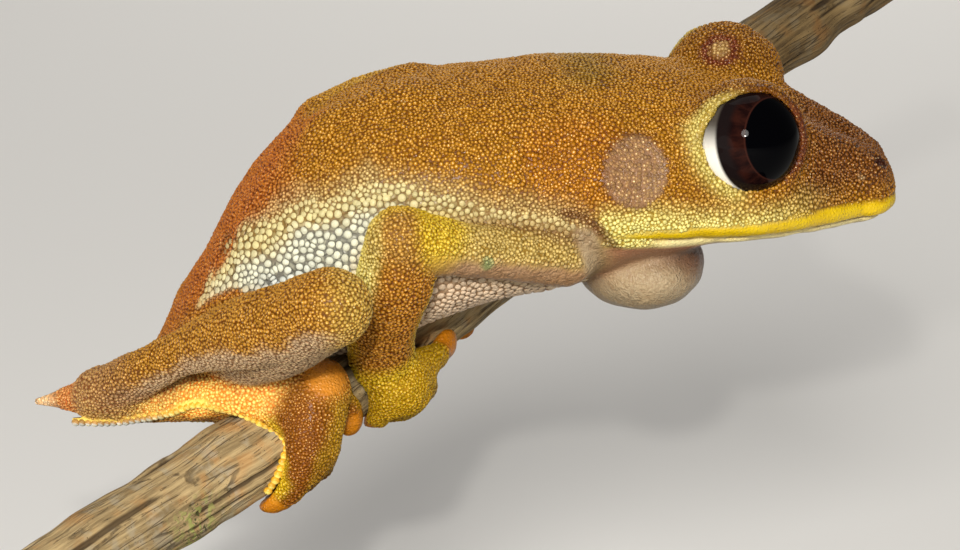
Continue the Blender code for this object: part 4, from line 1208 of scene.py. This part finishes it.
def granule_group():
    """Geometry nodes that set a rounded granule on each spot, in the colours kept for that spot."""
    tree = bpy.data.node_groups.new("granules", "GeometryNodeTree")
    for label, kind, value in GRANULE_INPUTS:
        socket = tree.interface.new_socket(label, in_out="INPUT", socket_type="NodeSocket" + kind)
        if value is not None:
            socket.default_value = value
    tree.interface.new_socket("Geometry", in_out="OUTPUT", socket_type="NodeSocketGeometry")
    wires = Wiring(tree)
    given = tree.nodes.new("NodeGroupInput").outputs
    ball = wires.result("GeometryNodeMeshUVSphere",
                        {"Segments": given["Segments"], "Rings": given["Rings"], "Radius": 0.5})
    up = wires.result("ShaderNodeSeparateXYZ", {0: wires.result("GeometryNodeInputPosition")}, "Z")
    ball = wires.result("GeometryNodeStoreNamedAttribute",
                        {"Geometry": ball, "Name": "rise", "Value": wires.times(up, 2.0)},
                        data_type="FLOAT", domain="POINT")
    chances = []
    for number, (low, high) in enumerate(((0.9, 1.1), (0.9, 1.1), (0.0, 6.28), (0.0, 1.0))):
        seed = wires.math("ADD", given["Seed"], float(number))
        chances.append(wires.result("FunctionNodeRandomValue", {2: low, 3: high, "Seed": seed}, 1,
                                    data_type="FLOAT"))
    size, stretch, turn, shade = chances
    share = wires.result("GeometryNodeInputNamedAttribute", {0: "share"}, data_type="FLOAT")
    size = wires.times(size, share)
    width = wires.times(given["Width"], size)
    scale = wires.result("ShaderNodeCombineXYZ", {0: width, 1: wires.times(width, stretch),
                                                  2: wires.times(given["Height"], size)})
    facing = wires.result("GeometryNodeInputNamedAttribute", {0: "facing"}, data_type="FLOAT_VECTOR")
    upright = wires.result("FunctionNodeAlignRotationToVector", {2: facing}, axis="Z")
    spin = wires.result("FunctionNodeEulerToRotation", {0: wires.result("ShaderNodeCombineXYZ", {2: turn})})
    turned = wires.result("FunctionNodeRotateRotation", {0: upright, 1: spin}, rotation_space="LOCAL")
    inputs = {"Points": given["Geometry"], "Instance": ball, "Rotation": turned, "Scale": scale}
    placed = wires.result("GeometryNodeInstanceOnPoints", inputs)
    placed = wires.result("GeometryNodeStoreNamedAttribute",
                          {"Geometry": placed, "Name": "chance", "Value": shade},
                          data_type="FLOAT", domain="INSTANCE")
    real = wires.result("GeometryNodeRealizeInstances", {0: placed})
    real = wires.result("GeometryNodeSetShadeSmooth", {"Geometry": real, "Shade Smooth": True})
    wires.node("NodeGroupOutput", {"Geometry": wires.result(
        "GeometryNodeSetMaterial", {"Geometry": real, "Material": given["Material"]})})
    return tree


def means(values, nearest, count):
    """The mean of each column of the values over the samples that each spot owns."""
    owned = np.maximum(np.bincount(nearest, minlength=count), 1)
    return np.stack([np.bincount(nearest, column, count) for column in values.T], 1) / owned[:, None]


def tree_of(spots):
    """A tree that finds the nearest spots."""
    tree = kdtree.KDTree(len(spots))
    for index, spot in enumerate(spots):
        tree.insert(spot, index)
    tree.balance()
    return tree


def even_spots(surface, zones, coat, spacing, rounds=EVENING_ROUNDS):
    """Spots spread evenly over one coat of the skin, with the skin's colours and facing round each."""
    points, quads, normals = surface
    quads = quads[zones["coat"][quads[:, 0]] == COATS[coat]]
    corners = points[quads]
    area = np.linalg.norm(np.cross(corners[:, 2] - corners[:, 0], corners[:, 3] - corners[:, 1]), axis=1) / 2
    count = int(area.sum() / (0.87 * spacing ** 2))
    chance = np.random.default_rng(COATS[coat])
    picked = chance.choice(len(quads), count * SAMPLES, p=area / area.sum())
    across, down = chance.random((2, len(picked), 1))
    near = corners[picked, 0] * (1 - across) + corners[picked, 1] * across
    far = corners[picked, 3] * (1 - across) + corners[picked, 2] * across
    samples = near * (1 - down) + far * down
    spots = samples[:count]
    for _ in range(rounds):
        tree = tree_of(spots)
        nearest = np.fromiter((tree.find(sample)[1] for sample in samples), int, len(samples))
        owned = np.bincount(nearest, minlength=count)
        spots = np.where(owned[:, None] > 0, means(samples, nearest, count), spots)
    own = quads[picked, 0]
    facing = means(normals[own], nearest, count)
    facing /= np.linalg.norm(facing, axis=1, keepdims=True) + 1e-9
    return {"place": spots, "facing": facing, "share": np.sqrt(owned / SAMPLES).clip(0.75, 1.25),
            "granule_tint": means(zones["granule_tint"][own], nearest, count),
            "groove_tint": means(zones["groove_tint"][own], nearest, count)}


def frill_spots():
    """Spots for the pale tubercles on the crests of the frilled edges."""
    places = []
    facings = []
    for edge, way in FRILL_EDGES:
        along = lengths(edge)
        steps = np.arange(0.1, along[-1], BEAD_PITCH)
        route = np.stack([np.interp(steps, along, column) for column in edge.T[:3]], 1)
        places.append(route + np.asarray(way) * FRILL_RADIUS * 0.55)
        facings.append(np.tile(way, (len(steps), 1)))
    places = np.vstack(places)
    pale = ramp(-places[:, :1], 19.0, 23.0) * 0.8
    return {"place": places, "facing": np.vstack(facings), "share": np.ones(len(places)),
            "granule_tint": TINTS["fringe"][0] * (1 - pale) + TINTS["flank_blue"][0] * pale,
            "groove_tint": TINTS["fringe"][1] * (1 - pale) + TINTS["heel"][0] * pale}


def granule_material(name, roughness, glint, darkest, foot, top):
    """Rounded granules: groove colour round the foot, the skin's own tint on top, some with a pale tip
    painted as a glint.
    """
    wires = Finish(name, {"Roughness": roughness, "Specular IOR Level": 0.3})
    rise = wires.attribute("rise")
    chance = wires.attribute("chance")
    _, grain = mottled(wires, 0.002, 0.00012)
    tint = wires.mix(wires.spread(rise, foot, top), wires.attribute("groove_tint", "Color"),
                     wires.attribute("granule_tint", "Color"))
    tint = wires.dim(tint, wires.spread(chance, first=darkest, second=1.1))
    tint = wires.mix(wires.times(grain, 0.25), tint, wires.dim(tint, 0.6))
    # Painted glint: a pale gold tip on some granules stands in for a highlight.
    tip = wires.times(wires.spread(rise, 0.8), wires.spread(chance, 0.35, 0.9))
    wires.feed("Base Color", wires.mix(wires.times(tip, glint), tint, (1.0, 0.79, 0.34, 1)))
    wires.relief(grain, 0.00002, 0.6)
    return wires.material


def grow_granules(name, spots, tree, sizes, slot):
    """Grows a granule on each spot and keeps them all as one plain mesh."""
    mesh = plain_mesh(name + "_spots", spots["place"])
    for label in ("share", "granule_tint", "groove_tint"):
        store(mesh, label, spots[label])
    store(mesh, "facing", spots["facing"], "FLOAT_VECTOR")
    grown = bpy.data.objects.new(name + "_source", mesh)
    bpy.context.scene.collection.objects.link(grown)
    modifier = grown.modifiers.new("granules", "NODES")
    modifier.node_group = tree
    for item in tree.interface.items_tree:
        if item.in_out == "INPUT" and item.name in sizes:
            modifier[item.identifier] = sizes[item.name]
    bpy.context.view_layer.update()
    depsgraph = bpy.context.evaluated_depsgraph_get()
    made = bpy.data.meshes.new_from_object(grown.evaluated_get(depsgraph), preserve_all_data_layers=True,
                                           depsgraph=depsgraph)
    bpy.data.objects.remove(grown)
    show(name, made, [sizes["Material"]], slot)


def cell_reach(spots, sides, spacing):
    """How far each cell reaches each way before it meets a neighbour, and those ways."""
    place, facing = spots["place"], spots["facing"]
    tree = tree_of(place)
    near = np.array([[found[1] for found in tree.find_n(spot, 13)[1:]] for spot in place])
    offset = place[near] - place[:, None]
    offset -= (offset * facing[:, None]).sum(2, keepdims=True) * facing[:, None]
    aside = np.cross(facing, (0.31, 0.2, 0.93))
    aside /= np.linalg.norm(aside, axis=1, keepdims=True)
    turn = 2 * math.pi * np.arange(sides)[:, None] / sides
    ways = np.cos(turn) * aside[:, None] + np.sin(turn) * np.cross(facing, aside)[:, None]
    along = np.einsum("nkc,njc->nkj", ways, offset)
    gap = (offset ** 2).sum(2)[:, None] / (2 * np.maximum(along, 1e-4))
    reach = np.minimum(gap.min(2), 0.62 * spacing)
    return 0.5 * reach + 0.25 * np.roll(reach, 1, axis=1) + 0.25 * np.roll(reach, -1, axis=1), ways


def lay_cells(name, spots, sides, spacing, material):
    """Closely packed, rounded polygonal cells, each one closed, kept as one plain mesh."""
    reach, ways = cell_reach(spots, sides, spacing)
    up = spots["facing"][:, None] * 0.25 * spacing
    middle = spots["place"][:, None]
    levels = [middle + up]
    rises = [1.0]
    for share, rise in CELL_PROFILE:
        levels.append(middle + ways * reach[..., None] * share * CELL_GAP + up * rise)
        rises += [rise] * sides
    vertices = np.concatenate(levels + [middle - up * 0.5], axis=1)
    rises.append(-0.5)
    count, each = vertices.shape[:2]
    last = each - 1 - sides
    faces = []
    for number in range(sides):
        after = (number + 1) % sides
        faces.append((0, 1 + number, 1 + after, 1 + after))
        for inner in range(1, last, sides):
            outer = inner + sides
            faces.append((inner + number, outer + number, outer + after, inner + after))
        faces.append((each - 1, last + after, last + number, last + number))
    faces = (np.array(faces)[None] + each * np.arange(count)[:, None, None]).reshape(-1, 4)
    mesh = plain_mesh(name, vertices.reshape(-1, 3), [tuple(dict.fromkeys(face)) for face in faces.tolist()])
    store(mesh, "rise", np.tile(rises, count))
    store(mesh, "chance", np.repeat(np.random.default_rng(count).random(count), each))
    for label in ("granule_tint", "groove_tint"):
        store(mesh, label, np.repeat(spots[label], each, axis=0))
    show(name, mesh, [material], "torso")


def granule_pieces(surface, zones):
    """Granules of back, head, limbs, hands and feet, and the large cells of flanks and belly."""
    tree = granule_group()
    fine = granule_material("granule_skin", 0.36, 0.8, 0.8, 0.3, 0.85)
    large = granule_material("cell_skin", 0.4, 0.0, 0.88, 0.1, 0.62)
    for coat, name, spacing, height, slot in (
            ("head", "head_granules", 0.291, 0.00021, "head"),
            ("back", "back_granules", 0.298, 0.00022, "torso"),
            ("right", "right_limb_granules", 0.292, 0.00021, "shank_right"),
            ("left", "left_limb_granules", 0.31, 0.00021, "shank_left"),
            ("soles", "foot_granules", 0.27, 0.00014, "foot_right")):
        sizes = {"Width": spacing * 1.2 * MM, "Height": height, "Segments": 5, "Rings": 3,
                 "Seed": COATS[coat], "Material": fine}
        grow_granules(name, even_spots(surface, zones, coat, spacing), tree, sizes, slot)
    for coat, name, spacing, sides in (("cells", "flank_cells", CELL_SPACING, 12),
                                       ("small", "border_cells", SMALL_SPACING, 10)):
        spots = even_spots(surface, zones, coat, spacing, CELL_ROUNDS)
        lay_cells(name, spots, sides, spacing, large)
    sizes = {"Width": 0.00062, "Height": 0.00054, "Segments": 8, "Rings": 6, "Seed": 6, "Material": fine}
    grow_granules("frill_beads", frill_spots(), tree, sizes, "foot_right")


def skin_piece():
    """One unbroken skin over all the flesh solids."""
    lows, highs = (np.array([entry[index] for entry in FLESH.values()]) for index in (1, 2))
    mesh, points = closed_mesh("frog_skin", skin_field, lows.min(0), highs.max(0), SKIN_STEP)
    normals = np.zeros(points.size, np.float32)
    mesh.vertex_normals.foreach_get("vector", normals)
    normals = normals.reshape(-1, 3).astype(float)
    zones = Zones(points, normals).layers()
    for name, values in zones.items():
        store(mesh, name, values)
    quads = np.zeros(len(mesh.loops), np.int32)
    mesh.loops.foreach_get("vertex_index", quads)
    skin = show("frog_skin", mesh, [skin_material()], "torso")
    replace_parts(skin, "torso", "head", "lower_jaw", "throat_sac",
                *[part + "_" + side for part in MELTING for side in LIMBS])
    granule_pieces((points, quads.reshape(-1, 4), normals), zones)


def eye_material():
    """Large black pupil, dark red-brown iris and a silvery rim under a clear wet coat."""
    wires = Finish("frog_eye", {"Roughness": 0.03, "Specular IOR Level": 0.035})
    angle = wires.attribute("gaze_angle")
    place = wires.result("ShaderNodeCombineXYZ", {0: wires.times(wires.attribute("gaze_turn"), 9.0),
                                                  1: wires.times(angle, 0.02)})
    fibres = wires.spread(wires.noise(place, 2.0, 4.0), 0.35, 0.65)
    iris = wires.mix(fibres, (0.006, 0.002, 0.002, 1), (0.022, 0.006, 0.004, 1))
    white = wires.mix(wires.attribute("lower_side"), (0.06, 0.05, 0.04, 1), (0.80, 0.78, 0.72, 1))
    tint = (0.0006, 0.0006, 0.0010, 1)
    for start, end, colour in ((47.5, 49.0, (0.03, 0.009, 0.006, 1)), (49.2, 50.5, iris),
                               (61.0, 70.0, (0.008, 0.005, 0.005, 1)), (79.0, 84.0, white),
                               (98.0, 106.0, (0.42, 0.30, 0.14, 1))):
        tint = wires.mix(wires.spread(angle, start, end), tint, colour)
    wires.feed("Base Color", tint)
    return wires.material


def face_order(face):
    """A number that puts a ball's faces in the same order in every run."""
    first, second, third = sorted(corner.index for corner in face.verts)[:3]
    return (first * 1e4 + second) * 1e4 + third


def eye_piece(name, side, made):
    """An eyeball with a slightly raised clear front, turned to where the frog looks."""
    shape = bmesh.new()
    bmesh.ops.create_uvsphere(shape, u_segments=72, v_segments=54, radius=1.0)
    shape.verts.index_update()
    shape.faces.sort(key=face_order)
    mesh = bpy.data.meshes.new(name)
    shape.to_mesh(mesh)
    shape.free()
    own = np.zeros(len(mesh.vertices) * 3, np.float32)
    mesh.vertices.foreach_get("co", own)
    own = own.reshape(-1, 3).astype(float)
    own /= np.linalg.norm(own, axis=1, keepdims=True)
    angle = np.degrees(np.arccos(np.clip(own[:, 2], -1, 1)))
    swell = 1 + 0.012 * fade(angle, 50, 85)
    ahead = normed(GAZE * (1, side, 1) @ HEAD_AXES)
    aside = normed(np.cross((0, 0, 1), ahead))
    axes = np.array([aside, np.cross(ahead, aside), ahead])
    centre = np.array(EYE_PLACE) * (1, side, 1) @ HEAD_AXES + HEAD_PLACE
    placed = centre + (own * swell[:, None] * EYE_BALL) @ axes
    mesh.vertices.foreach_set("co", ((placed + LIFT) * MM).astype(np.float32).ravel())
    mesh.update()
    mesh.shade_smooth()
    store(mesh, "gaze_angle", angle)
    store(mesh, "gaze_turn", np.abs(np.arctan2(own[:, 1], own[:, 0])) / math.pi)
    store(mesh, "lower_side", ramp(-(own @ axes)[:, 2], -0.5, 0.15))
    node = "eye_right" if side < 0 else "eye_left"
    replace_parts(show(name, mesh, [made], node), node)


def bark_place(along, turn):
    """Coordinates for the bark's patterns: grain runs with the branch, with no seam round it."""
    return np.stack([np.cos(turn) * 2.8, np.sin(turn) * 2.8, along], 1)


def bark_cracks(place):
    """Long cracks in the bark, from 0 to 1."""
    return ramp(noise(place * (1, 1, 0.07), 0.45, 24), 0.4, 0.7)


def bark_height(place):
    """Ridges, cracks and weathered hollows above the smooth branch, in millimetres."""
    ridges = noise(place * (1, 1, 0.16), 0.75, 21)
    fibres = noise(place * (1, 1, 0.1), 0.3, 22)
    lumps = noise(place, 2.4, 23)
    scars = ramp(noise(place * (0.8, 0.8, 1.0), 1.5, 25), 0.45, 0.75)
    return 0.16 * ridges + 0.06 * fibres + 0.14 * lumps - 0.26 * bark_cracks(place) - 0.08 * scars - 0.05


def bark_material():
    """Weathered dead wood: grey-tan grain, dark cracks, rusty stains and pale lichen."""
    wires = Finish("dead_wood", {"Roughness": 0.85, "Specular IOR Level": 0.25})
    place = wires.attribute("bark_place", "Vector")
    along_grain = wires.result("ShaderNodeMapping", {"Vector": place, "Scale": (1.0, 1.0, 0.07)})
    grain = wires.noise(along_grain, 3.2, 6.0, {"Roughness": 0.65})
    blotch = wires.noise(place, 0.5, 4.0)
    grey = wires.noise(place, 0.9, 5.0, {"W": 3.0}, noise_dimensions="4D")
    edge = wires.result("ShaderNodeTexVoronoi", {"Vector": along_grain, "Scale": 1.5}, "Distance",
                        feature="DISTANCE_TO_EDGE")
    thin_line = wires.times(wires.spread(edge, 0.01, 0.04, 0.6, 0.0), wires.spread(grey, 0.42, 0.55))
    specks = wires.result("ShaderNodeTexVoronoi", {"Vector": place, "Scale": 2.4}, "Distance")
    crack = wires.attribute("crack")
    patch = wires.attribute("lichen")
    growth = wires.noise(place, 2.2, 5.0)
    lichen = wires.times(patch, wires.spread(growth, 0.5, 0.58))
    tint = (0.20, 0.15, 0.085, 1)
    for share, colour in ((wires.spread(grain, 0.36, 0.64), (0.45, 0.355, 0.215, 1)),
                          (wires.spread(blotch, 0.5, 0.68, 0.0, 0.42), (0.46, 0.23, 0.075, 1)),
                          (wires.spread(grey, 0.5, 0.66, 0.0, 0.55), (0.36, 0.34, 0.30, 1)),
                          (wires.spread(crack, 0.15, 0.8, 0.0, 0.85), (0.045, 0.028, 0.015, 1)),
                          (thin_line, (0.05, 0.033, 0.018, 1)),
                          (wires.spread(specks, 0.05, 0.14, 0.8, 0.0), (0.03, 0.02, 0.012, 1)),
                          (lichen, (0.30, 0.34, 0.12, 1)),
                          (wires.times(patch, wires.spread(growth, 0.42, 0.34)), (0.05, 0.06, 0.02, 1))):
        tint = wires.mix(share, tint, colour)
    tint = wires.mix(wires.attribute("weathered"), tint, wires.dim(tint, (0.25, 0.20, 0.125, 1)))
    wires.feed("Base Color", wires.dim(tint, (1.0, 0.92, 0.74, 1)))
    height = wires.math("ADD", wires.math("SUBTRACT", grain, thin_line), wires.times(lichen, 0.35))
    wires.relief(height, 0.00022, 0.8)
    return wires.material


def cut_wood_material():
    """The sawn ends of the branch, with growth rings."""
    wires = Finish("cut_wood", {"Roughness": 0.7, "Specular IOR Level": 0.3})
    place = wires.attribute("bark_place", "Vector")
    inputs = {"Vector": place, "Scale": 0.9, "Distortion": 1.5, "Detail": 2.0}
    rings = wires.result("ShaderNodeTexWave", inputs, "Fac", wave_type="RINGS", rings_direction="Z")
    wires.feed("Base Color", wires.mix(rings, (0.42, 0.28, 0.14, 1), (0.62, 0.47, 0.28, 1)))
    return wires.material


def branch_piece():
    """The cut branch with its ridged bark and sawn ends."""
    rings, sides = BARK_RINGS, BARK_SIDES
    stations = np.linspace(0, BRANCH_ALONG[-1], rings)
    along = np.repeat(stations, sides)
    degrees = np.tile(360 * np.arange(sides) / sides, rings)
    turn = np.radians(degrees)
    place = bark_place(along, turn)
    height = bark_height(place)
    frames = np.repeat(np.array([branch_frame(value) for value in stations]), sides, axis=0)
    centre, _, up, right = frames.transpose(1, 0, 2)
    reach = branch_radius(along, degrees) + height
    points = centre + reach[:, None] * (np.cos(turn)[:, None] * up + np.sin(turn)[:, None] * right)
    faces = []
    for first in range(0, (rings - 1) * sides, sides):
        second = first + sides
        for side in range(sides):
            after = (side + 1) % sides
            faces.append((first + side, first + after, second + after, second + side))
    faces.append(tuple(range(sides))[::-1])
    faces.append(tuple(range((rings - 1) * sides, rings * sides)))
    mesh = plain_mesh("dead_branch", points, faces)
    shape = bmesh.new()
    shape.from_mesh(mesh)
    bmesh.ops.recalc_face_normals(shape, faces=shape.faces)
    shape.to_mesh(mesh)
    shape.free()
    for end in (-1, -2):
        mesh.polygons[end].material_index = 1
    store(mesh, "bark_place", place, "FLOAT_VECTOR")
    store(mesh, "crack", np.maximum(bark_cracks(place), ramp(-height, 0.2, 0.5)))
    store(mesh, "lichen", bump(along - LICHEN_ALONG, 1.8) * ramp(np.sin(turn - 0.5), 0.45, 0.9))
    store(mesh, "weathered", ramp(along, 50.0, 75.0) * (0.75 + 0.25 * noise(place, 2.5, 31)))
    finishes = [bark_material(), cut_wood_material()]
    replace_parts(show("dead_branch", mesh, finishes, "perch_branch"), "perch_branch")


def base_material():
    """Satin black of the display base, with faint dust."""
    wires = Finish("satin_black", {"Coat Weight": 0.2, "Coat Roughness": 0.3})
    patches, grain = mottled(wires, 0.012, 0.0005)
    wires.feed("Base Color", wires.mix(wires.times(patches, grain), (0.012, 0.012, 0.013, 1),
                                       (0.03, 0.03, 0.03, 1)))
    wires.feed("Roughness", wires.spread(patches, first=0.38, second=0.44))
    wires.relief(grain, 0.00005, 0.25)
    return wires.material


def rod_material():
    """Brushed steel of the rod."""
    wires = Finish("brushed_steel", {"Metallic": 1.0})
    stretched = wires.result("ShaderNodeMapping", {"Vector": wires.place(), "Scale": (300.0, 300.0, 9000.0)})
    brushed = wires.noise(stretched, 1.0, 3.0)
    wires.feed("Base Color", wires.mix(brushed, (0.42, 0.42, 0.43, 1), (0.66, 0.66, 0.67, 1)))
    wires.feed("Roughness", wires.spread(brushed, 0.2, 0.8, 0.22, 0.4))
    return wires.material


def dress_stand():
    """Finishes the stand's solids, which keep their shape."""
    for node, made in (("stand_base", base_material()), ("stand_rod", rod_material())):
        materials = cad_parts[node].data.materials
        materials.clear()
        materials.append(made)


def floor_piece():
    """The plain pale floor."""
    shape = bmesh.new()
    bmesh.ops.create_grid(shape, x_segments=2, y_segments=2, size=2.5)
    mesh = bpy.data.meshes.new("floor")
    shape.to_mesh(mesh)
    shape.free()
    floor = bpy.data.objects.new("floor", mesh)
    bpy.context.scene.collection.objects.link(floor)
    wires = Finish("pale_floor", {"Base Color": (0.80, 0.79, 0.77, 1), "Roughness": 0.8,
                                  "Specular IOR Level": 0.2})
    mesh.materials.append(wires.material)


# Round soft lamps: place, size, power, colour and what each looks at
LAMPS = {
    "main_light": ((-0.12, -0.56, 0.34), 0.18, 3.6, (1.0, 0.97, 0.92), CAMERA_TARGET),
    "glint_light": ((-0.035, -0.25, 0.15), 0.009, 0.35, (1.0, 0.97, 0.9), CAMERA_TARGET),
    "fill_light": ((-0.24, -0.16, 0.03), 0.22, 0.2, (1.0, 0.96, 0.9), CAMERA_TARGET),
    "back_light": ((0.10, 0.40, 0.20), 0.25, 0.275, (1.0, 0.97, 0.92), CAMERA_TARGET),
    "floor_light": ((0.0, 0.50, 0.90), 0.8, 2.5, (1.0, 0.98, 0.95), (0.0, 0.6, 0.0))}


def light_up():
    """Plain soft studio light, the main lamp above the camera's left."""
    for name, (place, size, power, colour, target) in LAMPS.items():
        data = bpy.data.lights.new(name, "AREA")
        data.shape = "DISK"
        data.size = size
        data.energy = power
        data.color = colour
        obj = bpy.data.objects.new(name, data)
        obj.location = place
        obj.rotation_euler = (Vector(target) - Vector(place)).to_track_quat("-Z", "Y").to_euler()
        bpy.context.scene.collection.objects.link(obj)
    world = bpy.data.worlds.new("studio")
    bpy.context.scene.world = world
    world.use_nodes = True
    world.node_tree.nodes["Background"].inputs[0].default_value = (0.84, 0.82, 0.80, 1)
    world.node_tree.nodes["Background"].inputs[1].default_value = 0.16


def place_camera():
    """The camera at the photo's angle."""
    flat = math.cos(CAMERA_RISE)
    back = Vector((math.sin(CAMERA_TURN) * flat, -math.cos(CAMERA_TURN) * flat, math.sin(CAMERA_RISE)))
    across = Vector((math.cos(CAMERA_TURN), math.sin(CAMERA_TURN), 0))
    data = bpy.data.cameras.new("camera")
    data.lens = CAMERA_LENS
    data.sensor_width = CAMERA_SENSOR
    data.clip_start = 0.01
    camera = bpy.data.objects.new("camera", data)
    turned = Matrix((across, back.cross(across), back)).transposed().to_4x4()
    camera.matrix_world = Matrix.Translation(Vector(CAMERA_TARGET) + CAMERA_DISTANCE * back) @ turned
    bpy.context.scene.collection.objects.link(camera)
    bpy.context.scene.camera = camera


bpy.context.scene.view_settings.view_transform = "Standard"
skin_piece()
eye_look = eye_material()
eye_piece("eyeball_right", -1, eye_look)
eye_piece("eyeball_left", 1, eye_look)
branch_piece()
dress_stand()
floor_piece()
light_up()
place_camera()
